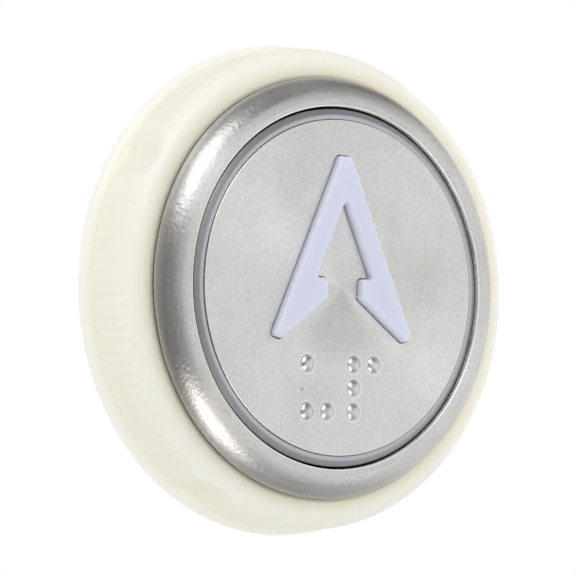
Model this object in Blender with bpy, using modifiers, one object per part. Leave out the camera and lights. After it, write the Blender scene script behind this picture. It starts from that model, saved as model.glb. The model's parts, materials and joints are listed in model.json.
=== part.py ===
"""Panel-mounted lift call button, modelled as an assembly of separate pieces.

World frame: metres, +Z up, the front of the button faces -Y. The origin is the centre of
the bezel's rear seat, which is the plane of the panel's front face. Every piece hangs on an
empty turned so that its own +Z points out of the button's front, +X right and +Y up; the
heights below are measured along that axis.
"""
from math import acos, cos, pi, radians, sin, tau

import bmesh
import bpy
from mathutils import Matrix, Vector

MM = 0.001
GAP = 0.3 * MM

# Bezel
BEZEL_R = 22.0 * MM
BEZEL_RIM = 0.35 * MM
CREST_R = 19.2 * MM
CREST_HEIGHT = 2.4 * MM
BORE_R = 18.75 * MM
LIP_REAR = 1.75 * MM

# Threaded barrel and the parts on it
BARREL_R = 19.5 * MM
BARREL_REAR = -14.6 * MM
BARREL_BORE_R = 16.9 * MM
REAR_BORE_R = 18.0 * MM
FLANGE_R = 20.2 * MM
FLANGE_TOP = 1.45 * MM
FLANGE_BOTTOM = 0.8 * MM
SEAT_RECESS_R = 21.2 * MM
WELL_R = 18.65 * MM
WELL_FLOOR = -0.3 * MM
BULKHEAD_TOP = -7.5 * MM
BULKHEAD_BOTTOM = -8.5 * MM
KEY_SLOT_DEPTH = 0.7 * MM
KEY_SLOT_WIDTH = 3.0 * MM
LEDGE = -10.7 * MM

# Ring nut
NUT_BORE_R = BARREL_R + GAP
NUT_FRONT = -0.15 * MM
NUT_SIDE_R = 25.1 * MM
NUT_SHOULDER_R = 23.3 * MM
NUT_SHOULDER_BOTTOM = -2.6 * MM
NUT_REAR = -7.7 * MM
NUT_RIM_FRONT = -6.4 * MM
NUT_RIM_R = 25.9 * MM
SCALLOP_COUNT = 4
SCALLOP_FIRST = radians(59.5)
SCALLOP_R = 10.6 * MM
SCALLOP_FLOOR_R = 24.4 * MM
WASHER_TOP = -0.7 * MM
WASHER_BOTTOM = -1.8 * MM
WASHER_R = 21.1 * MM
NUT_RECESS_R = BEZEL_R + GAP / 2

# Pressel: plate, lenses and plunger
TRAVEL = 1.0 * MM
PLATE_R = 17.3 * MM
PLATE_TOP = CREST_HEIGHT
PLATE_BOTTOM = 1.8 * MM
LENS_TOP = PLATE_BOTTOM - GAP
LENS_BOTTOM = 1.0 * MM
HALO_R = 18.35 * MM
HALO_TOP = 2.2 * MM
ARROW_FLANGE_R = 15.0 * MM
ARROW_TOP = 3.2 * MM
PLUNGER_R = 16.6 * MM
PLUNGER_WALL_R = 15.4 * MM
PLUNGER_SEAT_R = 13.8 * MM
PLUNGER_TOP = LENS_BOTTOM - GAP
PLUNGER_WALL_BOTTOM = -4.2 * MM
SPOKE_TOP = -1.4 * MM
SPOKE_BOTTOM = -2.6 * MM
BOSS_BOTTOM = -3.2 * MM
LEG_BOTTOM = -9.6 * MM

# Braille cell
DOT_R = 0.9 * MM
DOT_HEIGHT = 0.5 * MM
DOT_PITCH_X = 2.62 * MM
DOT_PITCH_Y = 2.44 * MM
CELL_PITCH = 6.05 * MM
CELL_MIDDLE = (-3.02 * MM, -10.38 * MM)
LETTER_U = ((0, 0), (0, 2), (1, 2))
LETTER_P = ((0, 0), (1, 0), (0, 1), (0, 2))

# Electrics
BOARD_TOP = LEDGE - GAP
BOARD_BOTTOM = BOARD_TOP - 1.2 * MM
BOARD_R = REAR_BORE_R - GAP
SWITCH_SIZE = (12.8 * MM, 5.8 * MM)
SWITCH_TOP = -4.7 * MM
BUTTON_R = 1.0 * MM
BUTTON_TOP = BOSS_BOTTOM - GAP
BUTTON_LENGTH = 3.0 * MM
TERMINAL_SIZE = (0.9 * MM, 0.5 * MM)
TERMINAL_PITCH = 4.6 * MM
LED_SIZE = (3.5 * MM, 2.8 * MM, 1.4 * MM)
LED_ORBIT_R = 11.5 * MM
LED_COUNT = 6
WINDOW_R = 2.0 * MM
CONNECTOR_SIZE = (12.4 * MM, 6.4 * MM)
CONNECTOR_WALL = 0.8 * MM
CONNECTOR_REAR = -19.5 * MM
PIN_SIDE = 0.64 * MM
PIN_PITCH = 2.5 * MM
PIN_COUNT = 4

# Rear cover, screws and springs share three stations
STATIONS = tuple(radians(angle) for angle in (90.0, 210.0, 330.0))
LEG_STATIONS = tuple(radians(angle) for angle in (30.0, 150.0, 270.0))
STATION_R = 13.0 * MM
COVER_TOP = -13.0 * MM
COVER_BOSS_TOP = BOARD_BOTTOM - GAP
SCREW_SHANK_R = 0.9 * MM
SCREW_HEAD_R = 1.9 * MM
SCREW_HEAD_TOP = -13.6 * MM
SCREW_HEAD_HEIGHT = 1.0 * MM
SCREW_TIP = -8.6 * MM
PILLAR_R = 2.2 * MM
SPRING_R = 1.3 * MM
SPRING_WIRE_R = 0.2 * MM
SPRING_TURNS = 4.5
SPRING_TOP = SPOKE_BOTTOM - GAP
SPRING_BOTTOM = BULKHEAD_TOP + GAP

STEPS = 48
FINE_STEPS = 72
SMALL_STEPS = 20

STEEL = ("brushed_stainless", (0.62, 0.61, 0.59), 0.32, 1.0)
OPAL = ("opal_acrylic", (0.80, 0.80, 0.92), 0.35, 0.0)
HALO_TINT = ("smoked_opal", (0.45, 0.44, 0.52), 0.30, 0.0)
NYLON = ("natural_nylon", (0.86, 0.83, 0.70), 0.45, 0.0)
BLACK_PLASTIC = ("black_housing_plastic", (0.03, 0.03, 0.035), 0.50, 0.0)
WHITE_PLASTIC = ("white_carrier_plastic", (0.85, 0.85, 0.83), 0.50, 0.0)
RUBBER = ("gasket_rubber", (0.02, 0.02, 0.02), 0.80, 0.0)
ZINC = ("zinc_plated_steel", (0.55, 0.56, 0.58), 0.35, 1.0)
BOARD_GREEN = ("board_green", (0.03, 0.18, 0.08), 0.45, 0.0)
LED_YELLOW = ("led_phosphor", (0.90, 0.80, 0.45), 0.30, 0.0)
SWITCH_BLACK = ("switch_plastic", (0.05, 0.05, 0.06), 0.45, 0.0)
SWITCH_RED = ("switch_button_red", (0.55, 0.05, 0.04), 0.40, 0.0)
CONNECTOR_WHITE = ("connector_nylon", (0.82, 0.80, 0.74), 0.45, 0.0)
TINNED = ("tinned_brass", (0.70, 0.66, 0.52), 0.30, 1.0)


# ---------------------------------------------------------------- scene helpers

def clear_scene():
    """Remove what the scene holds, so that the model starts empty."""
    for old_object in list(bpy.data.objects):
        bpy.data.objects.remove(old_object, do_unlink=True)


def new_collection(name):
    """A collection of the given name in the scene."""
    collection = bpy.data.collections.new(name)
    bpy.context.scene.collection.children.link(collection)
    return collection


def material(finish):
    """The Principled material of a finish, made once."""
    name, colour, roughness, metallic = finish
    made = bpy.data.materials.get(name)
    if made is None:
        made = bpy.data.materials.new(name)
        made.use_nodes = True
        shader = made.node_tree.nodes["Principled BSDF"]
        shader.inputs["Base Color"].default_value = (*colour, 1.0)
        shader.inputs["Roughness"].default_value = roughness
        shader.inputs["Metallic"].default_value = metallic
        made.diffuse_color = (*colour, 1.0)
    return made


def empty(name, parent=None):
    """An axis for pieces to hang on."""
    axis = bpy.data.objects.new(name, None)
    PARTS.objects.link(axis)
    axis.empty_display_size = 5 * MM
    if parent is None:
        axis.rotation_euler = (pi / 2, 0.0, 0.0)
    else:
        axis.parent = parent
    return axis


def place(name, mesh, finish, axis, location=(0.0, 0.0, 0.0), turn=0.0):
    """Put a mesh into the model as a named piece on an axis."""
    piece = bpy.data.objects.new(name, mesh)
    PARTS.objects.link(piece)
    piece.parent = axis
    piece.location = location
    piece.rotation_euler = (0.0, 0.0, turn)
    if not mesh.materials:
        mesh.materials.append(material(finish))
    return piece


def around(radius, angle, height=0.0):
    """The point at a radius and angle around the button's axis."""
    return Vector((radius * cos(angle), radius * sin(angle), height))


# ---------------------------------------------------------------- shapes

def mesh_from(bm, name):
    """Close a bmesh into a mesh with smooth round sides."""
    mesh = bpy.data.meshes.new(name)
    bm.to_mesh(mesh)
    bm.free()
    mesh.shade_smooth()
    mesh.set_sharp_from_angle(angle=radians(35))
    return mesh


def add_box(bm, size, centre, turn=0.0):
    """Add a box, turned about the button's axis, to a bmesh."""
    spot = Matrix.Rotation(turn, 4, "Z") @ Matrix.Translation(centre)
    bmesh.ops.create_cube(bm, size=1.0, matrix=spot @ Matrix.Diagonal((*size, 1.0)))


def add_rod(bm, radius, top, bottom, centre=(0.0, 0.0), segments=SMALL_STEPS):
    """Add an upright cylinder between two heights to a bmesh."""
    spot = Matrix.Translation((centre[0], centre[1], (top + bottom) / 2))
    bmesh.ops.create_cone(bm, cap_ends=True, segments=segments, radius1=radius,
                          radius2=radius, depth=top - bottom, matrix=spot)


def turned(name, profile, finish, axis, steps=STEPS, closed=True):
    """Turn a profile of (radius, height) points about the axis.

    The points run from the top, down the outer side, and back up the inner side. An open
    profile starts and ends on the axis.
    """
    bm = bmesh.new()
    points = [bm.verts.new((radius, 0.0, height)) for radius, height in profile]
    for first, second in zip(points, points[1:]):
        bm.edges.new((first, second))
    if closed:
        bm.edges.new((points[-1], points[0]))
    piece = place(name, mesh_from(bm, name), finish, axis)
    screw = piece.modifiers.new("turn", "SCREW")
    screw.axis = "Z"
    screw.steps = steps
    screw.render_steps = steps
    screw.use_merge_vertices = True
    screw.merge_threshold = 0.00001
    screw.use_smooth_shade = True
    return piece


def tube_profile(outer, inner, top, bottom):
    """The profile of a plain ring."""
    return [(inner, top), (outer, top), (outer, bottom), (inner, bottom)]


def arc(centre, radius_r, radius_h, start, end, count):
    """Points (radius, height) along an elliptical arc, ends included."""
    sweep = (end - start) / (count - 1)
    return [(centre[0] + radius_r * cos(start + sweep * step),
             centre[1] + radius_h * sin(start + sweep * step)) for step in range(count)]


def boolean(piece, operation, bm, name):
    """Cut a bmesh from a piece, or join it on, with a hidden tool."""
    tool = bpy.data.objects.new(name, mesh_from(bm, name))
    CUTTERS.objects.link(tool)
    tool.parent = piece.parent
    tool.hide_render = True
    tool.display_type = "WIRE"
    step = piece.modifiers.new(name, "BOOLEAN")
    step.operation = operation
    step.solver = "EXACT"
    step.object = tool


# ---------------------------------------------------------------- outlines

def arrow_corners(outset=0.0):
    """Corners (x, y, radius) of the direction arrow, going round once.

    The right half is given from the tip round to the inner apex and mirrored. With an
    outset, each side moves outwards by that distance.
    """
    half = [(0.75, 13.6, 0.45), (9.15, -5.15, 0.45), (7.95, -5.5, 0.5), (2.05, -1.15, 0.35),
            (2.15, 0.95, 0.4), (3.6, 0.95, 0.3)]
    right = [(x * MM, y * MM, radius * MM) for x, y, radius in half]
    inner_apex = (0.0, 8.4 * MM, 0.3 * MM)
    left = [(-x, y, radius) for x, y, radius in reversed(right)]
    corners = right + [inner_apex] + left
    if outset:
        corners = moved_outwards(corners, outset)
    return corners


def moved_outwards(corners, distance):
    """Shift every side of a clockwise outline outwards and find the new corners."""
    result = []
    for index, (x, y, radius) in enumerate(corners):
        before = Vector(corners[index - 1][:2])
        here = Vector((x, y))
        after = Vector(corners[(index + 1) % len(corners)][:2])
        first = (here - before).normalized()
        second = (after - here).normalized()
        normal_1 = Vector((-first.y, first.x))
        normal_2 = Vector((-second.y, second.x))
        shift = (normal_1 + normal_2) / (1.0 + normal_1.dot(normal_2))
        moved = here + shift * distance
        result.append((moved.x, moved.y, radius))
    return result


def rounded(corners, arc_points=5):
    """Points of an outline whose corners are rounded to their own radius."""
    points = []
    for index, (x, y, radius) in enumerate(corners):
        here = Vector((x, y))
        to_before = (Vector(corners[index - 1][:2]) - here).normalized()
        to_after = (Vector(corners[(index + 1) % len(corners)][:2]) - here).normalized()
        half_angle = to_before.angle(to_after) / 2
        middle = here + (to_before + to_after).normalized() * (radius / sin(half_angle))
        reach = radius * cos(half_angle) / sin(half_angle)
        start = here + to_before * reach - middle
        end = here + to_after * reach - middle
        sweep = start.angle_signed(end)
        for step in range(arc_points):
            turn = -sweep * step / (arc_points - 1)
            points.append(middle + Matrix.Rotation(turn, 2) @ start)
    return points


def outline_bmesh(points, top, bottom):
    """A flat outline, extruded between two heights by a filled curve, as a bmesh."""
    curve = bpy.data.curves.new("outline", "CURVE")
    curve.dimensions = "2D"
    curve.fill_mode = "BOTH"
    curve.extrude = (top - bottom) / 2
    spline = curve.splines.new("POLY")
    spline.points.add(len(points) - 1)
    for spot, point in zip(spline.points, points):
        spot.co = (point.x, point.y, 0.0, 1.0)
    spline.use_cyclic_u = True
    guide = bpy.data.objects.new("outline", curve)
    CUTTERS.objects.link(guide)
    graph = bpy.context.evaluated_depsgraph_get()
    mesh = bpy.data.meshes.new_from_object(guide.evaluated_get(graph))
    bpy.data.objects.remove(guide, do_unlink=True)
    bm = bmesh.new()
    bm.from_mesh(mesh)
    bpy.data.meshes.remove(mesh)
    bmesh.ops.remove_doubles(bm, verts=bm.verts, dist=0.000001)
    bmesh.ops.translate(bm, verts=bm.verts, vec=(0.0, 0.0, (top + bottom) / 2))
    bmesh.ops.recalc_face_normals(bm, faces=bm.faces)
    return bm


# ---------------------------------------------------------------- front pieces

def make_bezel(axis):
    """Turned stainless ring: convex slope, crest, bore, and stepped rear recess."""
    run = BEZEL_R - CREST_R
    drop = CREST_HEIGHT - BEZEL_RIM
    slope_r = (run ** 2 + drop ** 2) / (2 * drop)
    slope = arc((CREST_R, CREST_HEIGHT - slope_r), slope_r, slope_r,
                pi / 2, acos(run / slope_r), 8)
    lip_edge = 0.2 * MM
    flange_recess_r = FLANGE_R + GAP
    profile = [(BORE_R + lip_edge, CREST_HEIGHT), *slope, (BEZEL_R, 0.0),
               (SEAT_RECESS_R, 0.0), (SEAT_RECESS_R, FLANGE_BOTTOM),
               (flange_recess_r, FLANGE_BOTTOM), (flange_recess_r, LIP_REAR),
               (BORE_R, LIP_REAR), (BORE_R, CREST_HEIGHT - lip_edge)]
    turned("bezel", profile, STEEL, axis)


def make_panel_gasket(axis):
    """Rubber ring in the bezel's rear recess, a little proud of the seat."""
    proud = 0.1 * MM
    profile = tube_profile(SEAT_RECESS_R - 0.2 * MM, BARREL_R + GAP, FLANGE_BOTTOM - GAP,
                           -proud)
    turned("panel_gasket", profile, RUBBER, axis)


def make_face_plate(axis):
    """Stainless plate with a rounded rim, the arrow's aperture and Braille domes."""
    rim_r = 0.25 * MM
    rim = arc((PLATE_R - rim_r, PLATE_TOP - rim_r), rim_r, rim_r, pi / 2, 0.0, 4)
    profile = [(0.0, PLATE_TOP), *rim, (PLATE_R, PLATE_BOTTOM), (0.0, PLATE_BOTTOM)]
    plate = turned("face_plate", profile, STEEL, axis, closed=False)
    aperture = outline_bmesh(rounded(arrow_corners(GAP)), PLATE_TOP + GAP, PLATE_BOTTOM - GAP)
    boolean(plate, "DIFFERENCE", aperture, "arrow_aperture")
    domes = bmesh.new()
    dome_r = (DOT_R ** 2 + DOT_HEIGHT ** 2) / (2 * DOT_HEIGHT)
    for number, letter in enumerate((LETTER_U, LETTER_P)):
        for column, row in letter:
            x = CELL_MIDDLE[0] + number * CELL_PITCH + (column - 0.5) * DOT_PITCH_X
            y = CELL_MIDDLE[1] + (1 - row) * DOT_PITCH_Y
            spot = Matrix.Translation((x, y, PLATE_TOP + DOT_HEIGHT - dome_r))
            bmesh.ops.create_uvsphere(domes, u_segments=12, v_segments=12, radius=dome_r,
                                      matrix=spot)
    below = [vert for vert in domes.verts if vert.co.z < PLATE_BOTTOM + GAP]
    for vert in below:
        vert.co.z = PLATE_BOTTOM + GAP
    bmesh.ops.remove_doubles(domes, verts=domes.verts, dist=0.000001)
    boolean(plate, "UNION", domes, "braille_domes")


def make_arrow_lens(axis):
    """Opal moulding: a flange behind the plate and the arrow that stands through it."""
    profile = [(0.0, LENS_TOP), (ARROW_FLANGE_R, LENS_TOP), (ARROW_FLANGE_R, LENS_BOTTOM),
               (0.0, LENS_BOTTOM)]
    lens = turned("arrow_lens", profile, OPAL, axis, closed=False)
    sunk = (LENS_TOP + LENS_BOTTOM) / 2
    crown = outline_bmesh(rounded(arrow_corners()), ARROW_TOP, sunk)
    top_sides = [edge for edge in crown.edges
                 if all(vert.co.z > ARROW_TOP - GAP for vert in edge.verts)
                 and len([face for face in edge.link_faces if abs(face.normal.z) < 0.5]) == 1]
    bmesh.ops.bevel(crown, geom=top_sides, offset=0.25 * MM, segments=1, affect="EDGES",
                    profile=0.5)
    boolean(lens, "UNION", crown, "arrow_crown")


def make_halo_lens(axis):
    """Ring moulding: a web behind the plate's rim and a low lit wall around it."""
    wall_inner = PLATE_R + GAP
    edge = 0.15 * MM
    profile = [(wall_inner, HALO_TOP - edge), (wall_inner + edge, HALO_TOP),
               (HALO_R - edge, HALO_TOP), (HALO_R, HALO_TOP - edge), (HALO_R, LENS_BOTTOM),
               (ARROW_FLANGE_R + GAP, LENS_BOTTOM), (ARROW_FLANGE_R + GAP, LENS_TOP),
               (wall_inner, LENS_TOP)]
    turned("halo_lens", profile, HALO_TINT, axis)


def make_plunger(axis):
    """Carrier: ring wall with a seat, three spokes, a centre boss and three snap legs."""
    seat_bottom = PLUNGER_TOP - 0.8 * MM
    profile = [(PLUNGER_SEAT_R, PLUNGER_TOP), (PLUNGER_R, PLUNGER_TOP),
               (PLUNGER_R, PLUNGER_WALL_BOTTOM), (PLUNGER_WALL_R, PLUNGER_WALL_BOTTOM),
               (PLUNGER_WALL_R, seat_bottom), (PLUNGER_SEAT_R, seat_bottom)]
    plunger = turned("plunger", profile, WHITE_PLASTIC, axis)
    spoke_width = 3.6 * MM
    spoke_end = 16.0 * MM
    spokes = bmesh.new()
    for station in STATIONS:
        add_box(spokes, (spoke_end, spoke_width, SPOKE_TOP - SPOKE_BOTTOM),
                (spoke_end / 2, 0.0, (SPOKE_TOP + SPOKE_BOTTOM) / 2), station)
    boss = bmesh.new()
    boss_r = 2.6 * MM
    add_rod(boss, boss_r, SPOKE_TOP + GAP, BOSS_BOTTOM)
    leg_r = 15.85 * MM
    leg_size = (0.8 * MM, 4.4 * MM)
    leg_top = PLUNGER_WALL_BOTTOM + 1.2 * MM
    nib_r = 15.15 * MM
    nib_size = (1.3 * MM, 4.0 * MM)
    nib_top = BULKHEAD_BOTTOM - GAP
    nib_bottom = LEG_BOTTOM + 0.1 * MM
    legs = bmesh.new()
    nibs = bmesh.new()
    for station in LEG_STATIONS:
        add_box(legs, (*leg_size, leg_top - LEG_BOTTOM),
                (leg_r, 0.0, (leg_top + LEG_BOTTOM) / 2), station)
        add_box(nibs, (*nib_size, nib_top - nib_bottom),
                (nib_r, 0.0, (nib_top + nib_bottom) / 2), station)
    boolean(plunger, "UNION", boss, "plunger_boss")
    boolean(plunger, "UNION", spokes, "plunger_spokes")
    boolean(plunger, "UNION", legs, "plunger_legs")
    boolean(plunger, "UNION", nibs, "plunger_nibs")


def make_return_springs(axis):
    """Three coil springs between the plunger's spokes and the barrel's bulkhead."""
    points_per_turn = 8
    count = int(SPRING_TURNS * points_per_turn) + 1
    bottom = SPRING_BOTTOM + SPRING_WIRE_R
    rise = SPRING_TOP - SPRING_WIRE_R - bottom
    for number, station in enumerate(STATIONS, start=1):
        curve = bpy.data.curves.new(f"return_spring_{number}", "CURVE")
        curve.dimensions = "3D"
        curve.bevel_depth = SPRING_WIRE_R
        curve.bevel_resolution = 2
        curve.use_fill_caps = True
        coil = curve.splines.new("POLY")
        coil.points.add(count - 1)
        for index, spot in enumerate(coil.points):
            turn = tau * index / points_per_turn
            height = bottom + rise * index / (count - 1)
            spot.co = (SPRING_R * cos(turn), SPRING_R * sin(turn), height, 1.0)
        curve.materials.append(material(ZINC))
        spring = bpy.data.objects.new(f"return_spring_{number}", curve)
        PARTS.objects.link(spring)
        spring.parent = axis
        spring.location = around(STATION_R, station)


# ---------------------------------------------------------------- housing

def make_barrel(axis):
    """Housing: front flange, threaded neck, bulkhead, board ledge and screw pillars."""
    profile = [(WELL_R, FLANGE_TOP), (FLANGE_R, FLANGE_TOP), (FLANGE_R, FLANGE_BOTTOM),
               (BARREL_R, FLANGE_BOTTOM), (BARREL_R, BARREL_REAR),
               (REAR_BORE_R, BARREL_REAR), (REAR_BORE_R, LEDGE), (BARREL_BORE_R, LEDGE),
               (BARREL_BORE_R, WELL_FLOOR), (WELL_R, WELL_FLOOR)]
    barrel = turned("barrel", profile, BLACK_PLASTIC, axis)
    bulkhead = bmesh.new()
    add_rod(bulkhead, BARREL_BORE_R + 0.5 * MM, BULKHEAD_TOP, BULKHEAD_BOTTOM,
            segments=STEPS)
    boolean(barrel, "UNION", bulkhead, "barrel_bulkhead")
    pillars = bmesh.new()
    pillar_root = (BULKHEAD_TOP + BULKHEAD_BOTTOM) / 2
    for station in STATIONS:
        add_rod(pillars, PILLAR_R, pillar_root, BOARD_TOP + GAP,
                around(STATION_R, station).xy)
    boolean(barrel, "UNION", pillars, "barrel_pillars")
    openings = bmesh.new()
    clear = 2 * GAP
    opening_depth = 2.0 * MM
    add_box(openings, (SWITCH_SIZE[0] + clear, SWITCH_SIZE[1] + clear, opening_depth),
            (0.0, 0.0, pillar_root))
    for index in range(LED_COUNT):
        add_rod(openings, WINDOW_R, BULKHEAD_TOP + GAP, BULKHEAD_BOTTOM - GAP,
                around(LED_ORBIT_R, tau * index / LED_COUNT).xy)
    leg_window = (2.6 * MM, 5.2 * MM, opening_depth)
    leg_window_r = 15.4 * MM
    for station in LEG_STATIONS:
        add_box(openings, leg_window, (leg_window_r, 0.0, pillar_root), station)
    for station in STATIONS:
        add_rod(openings, SCREW_SHANK_R + GAP, BULKHEAD_BOTTOM + GAP, BOARD_TOP,
                around(STATION_R, station).xy)
    boolean(barrel, "DIFFERENCE", openings, "barrel_openings")
    key_slot = bmesh.new()
    slot_top = NUT_FRONT
    slot_bottom = BARREL_REAR - GAP
    add_box(key_slot, (KEY_SLOT_WIDTH, 2 * KEY_SLOT_DEPTH, slot_top - slot_bottom),
            (0.0, -BARREL_R, (slot_top + slot_bottom) / 2))
    boolean(barrel, "DIFFERENCE", key_slot, "barrel_key_slot")


def make_rear_cover(axis):
    """Disc that closes the barrel, with screw bosses and the connector's opening."""
    profile = [(0.0, COVER_TOP), (BOARD_R, COVER_TOP), (BOARD_R, BARREL_REAR),
               (0.0, BARREL_REAR)]
    cover = turned("rear_cover", profile, BLACK_PLASTIC, axis, closed=False)
    bosses = bmesh.new()
    boss_r = SCREW_HEAD_R + 2 * GAP
    for station in STATIONS:
        add_rod(bosses, boss_r, COVER_BOSS_TOP, COVER_TOP - GAP, around(STATION_R, station).xy)
    boolean(cover, "UNION", bosses, "cover_bosses")
    holes = bmesh.new()
    for station in STATIONS:
        spot = around(STATION_R, station).xy
        add_rod(holes, SCREW_SHANK_R + GAP, COVER_BOSS_TOP + GAP, SCREW_HEAD_TOP, spot)
    clear = 2 * GAP
    cut_depth = 4.0 * MM
    add_box(holes, (CONNECTOR_SIZE[0] + clear, CONNECTOR_SIZE[1] + clear, cut_depth),
            (0.0, 0.0, (COVER_TOP + BARREL_REAR) / 2))
    boolean(cover, "DIFFERENCE", holes, "cover_holes")
    recesses = bmesh.new()
    for station in STATIONS:
        add_rod(recesses, SCREW_HEAD_R + GAP, SCREW_HEAD_TOP + GAP, BARREL_REAR - GAP,
                around(STATION_R, station).xy)
    boolean(cover, "DIFFERENCE", recesses, "cover_recesses")


def make_cover_screws(axis):
    """Three pan-head screws with a cross recess, pointing forwards into the barrel."""
    head_rear = SCREW_HEAD_TOP - SCREW_HEAD_HEIGHT
    for number, station in enumerate(STATIONS, start=1):
        profile = [(0.0, SCREW_TIP), (SCREW_SHANK_R * 0.5, SCREW_TIP),
                   (SCREW_SHANK_R, SCREW_TIP - 0.5 * MM), (SCREW_SHANK_R, SCREW_HEAD_TOP),
                   (SCREW_HEAD_R, SCREW_HEAD_TOP), (SCREW_HEAD_R, head_rear + 0.4 * MM),
                   (SCREW_HEAD_R * 0.7, head_rear), (0.0, head_rear)]
        name = f"cover_screw_{number}"
        screw = turned(name, profile, ZINC, axis, steps=16, closed=False)
        screw.location = around(STATION_R, station)
        cross = bmesh.new()
        arm = 1.9 * MM
        slot = 0.4 * MM
        add_box(cross, (arm, slot, 1.0 * MM), (0.0, 0.0, head_rear))
        upright = bmesh.new()
        add_box(upright, (slot, arm, 1.0 * MM), (0.0, 0.0, head_rear))
        for tool, label in ((cross, "across"), (upright, "upright")):
            bmesh.ops.translate(tool, verts=tool.verts, vec=around(STATION_R, station))
            boolean(screw, "DIFFERENCE", tool, f"{name}_{label}")


# ---------------------------------------------------------------- nut and washer

def make_ring_nut(axis):
    """Nylon nut: washer recess, rounded front edge, smooth rear rim, finger scallops."""
    rim_bottom = NUT_REAR + 0.2 * MM
    shoulder = arc((NUT_SHOULDER_R, NUT_SHOULDER_BOTTOM), NUT_SIDE_R - NUT_SHOULDER_R,
                   NUT_FRONT - NUT_SHOULDER_BOTTOM, pi / 2, 0.0, 6)
    profile = [(NUT_RECESS_R, NUT_FRONT), *shoulder, (NUT_SIDE_R, NUT_RIM_FRONT),
               (NUT_RIM_R - 0.2 * MM, NUT_RIM_FRONT - 0.4 * MM),
               (NUT_RIM_R, NUT_RIM_FRONT - 0.8 * MM), (NUT_RIM_R - 0.1 * MM, rim_bottom),
               (NUT_RIM_R - 0.4 * MM, NUT_REAR), (NUT_BORE_R, NUT_REAR),
               (NUT_BORE_R, WASHER_BOTTOM - GAP), (NUT_RECESS_R, WASHER_BOTTOM - GAP)]
    nut = turned("ring_nut", profile, NYLON, axis, steps=FINE_STEPS)
    scallops = bmesh.new()
    for index in range(SCALLOP_COUNT):
        angle = SCALLOP_FIRST + tau * index / SCALLOP_COUNT
        add_rod(scallops, SCALLOP_R, 0.5 * MM, NUT_RIM_FRONT + 0.1 * MM,
                around(SCALLOP_FLOOR_R + SCALLOP_R, angle).xy, segments=72)
    boolean(nut, "DIFFERENCE", scallops, "nut_scallops")


def make_keyed_washer(axis):
    """Thrust washer with a tab that slides in the barrel's key slot."""
    profile = tube_profile(WASHER_R, BARREL_R + GAP, WASHER_TOP, WASHER_BOTTOM)
    washer = turned("keyed_washer", profile, ZINC, axis)
    tab = bmesh.new()
    tab_inner = BARREL_R - KEY_SLOT_DEPTH + GAP
    tab_outer = BARREL_R + 2 * GAP
    add_box(tab, (KEY_SLOT_WIDTH - 2 * GAP, tab_outer - tab_inner,
                  (WASHER_TOP - WASHER_BOTTOM) * 0.9),
            (0.0, -(tab_inner + tab_outer) / 2, (WASHER_TOP + WASHER_BOTTOM) / 2))
    boolean(washer, "UNION", tab, "washer_tab")


# ---------------------------------------------------------------- electrics

def pin_x(index):
    """Where a connector pin stands along the connector."""
    return (index - (PIN_COUNT - 1) / 2) * PIN_PITCH


def make_circuit_board(axis):
    """Round board with screw holes and slots for the switch's terminals."""
    profile = [(0.0, BOARD_TOP), (BOARD_R, BOARD_TOP), (BOARD_R, BOARD_BOTTOM),
               (0.0, BOARD_BOTTOM)]
    board = turned("circuit_board", profile, BOARD_GREEN, axis, closed=False)
    holes = bmesh.new()
    for station in STATIONS:
        add_rod(holes, SCREW_SHANK_R + GAP, BOARD_TOP + GAP, BOARD_BOTTOM - GAP,
                around(STATION_R, station).xy)
    clear = 2 * GAP
    cut_depth = 2.0 * MM
    for index in (-1, 0, 1):
        add_box(holes, (TERMINAL_SIZE[0] + clear, TERMINAL_SIZE[1] + clear, cut_depth),
                (index * TERMINAL_PITCH, 0.0, (BOARD_TOP + BOARD_BOTTOM) / 2))
    boolean(board, "DIFFERENCE", holes, "board_holes")


def make_leds(axis):
    """Six surface-mount lights on the board, one behind each bulkhead window."""
    bm = bmesh.new()
    add_box(bm, (LED_SIZE[0], LED_SIZE[1], LED_SIZE[2] * 0.7), (0.0, 0.0, LED_SIZE[2] * 0.35))
    mesh = mesh_from(bm, "led")
    for index in range(LED_COUNT):
        angle = tau * index / LED_COUNT
        led = place(f"led_{index + 1}", mesh, LED_YELLOW, axis,
                    around(LED_ORBIT_R, angle, BOARD_TOP + GAP), angle + pi / 2)
        bevel = led.modifiers.new("soft_edges", "BEVEL")
        bevel.width = 0.15 * MM
        bevel.segments = 1


def make_switch(axis, button_axis):
    """Snap-action switch: case with a button well, button and three terminals."""
    case = bmesh.new()
    height = SWITCH_TOP - LEDGE
    add_box(case, (*SWITCH_SIZE, height), (0.0, 0.0, (SWITCH_TOP + LEDGE) / 2))
    case_piece = place("switch_case", mesh_from(case, "switch_case"), SWITCH_BLACK, axis)
    bevel = case_piece.modifiers.new("soft_edges", "BEVEL")
    bevel.width = 0.3 * MM
    bevel.segments = 1
    well = bmesh.new()
    well_depth = BUTTON_TOP - BUTTON_LENGTH - TRAVEL - GAP
    add_rod(well, BUTTON_R + GAP, SWITCH_TOP + GAP, well_depth)
    boolean(case_piece, "DIFFERENCE", well, "switch_button_well")
    button_bottom = BUTTON_TOP - BUTTON_LENGTH
    profile = [(0.0, BUTTON_TOP), (BUTTON_R * 0.6, BUTTON_TOP),
               (BUTTON_R, BUTTON_TOP - 0.3 * MM), (BUTTON_R, button_bottom),
               (0.0, button_bottom)]
    turned("switch_button", profile, SWITCH_RED, button_axis, steps=SMALL_STEPS, closed=False)
    terminal = bmesh.new()
    terminal_length = 1.3 * MM
    add_box(terminal, (*TERMINAL_SIZE, terminal_length), (0.0, 0.0, -terminal_length / 2))
    mesh = mesh_from(terminal, "switch_terminal")
    for number, index in enumerate((-1, 0, 1), start=1):
        place(f"switch_terminal_{number}", mesh, TINNED, axis,
              (index * TERMINAL_PITCH, 0.0, BOARD_TOP))


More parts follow.
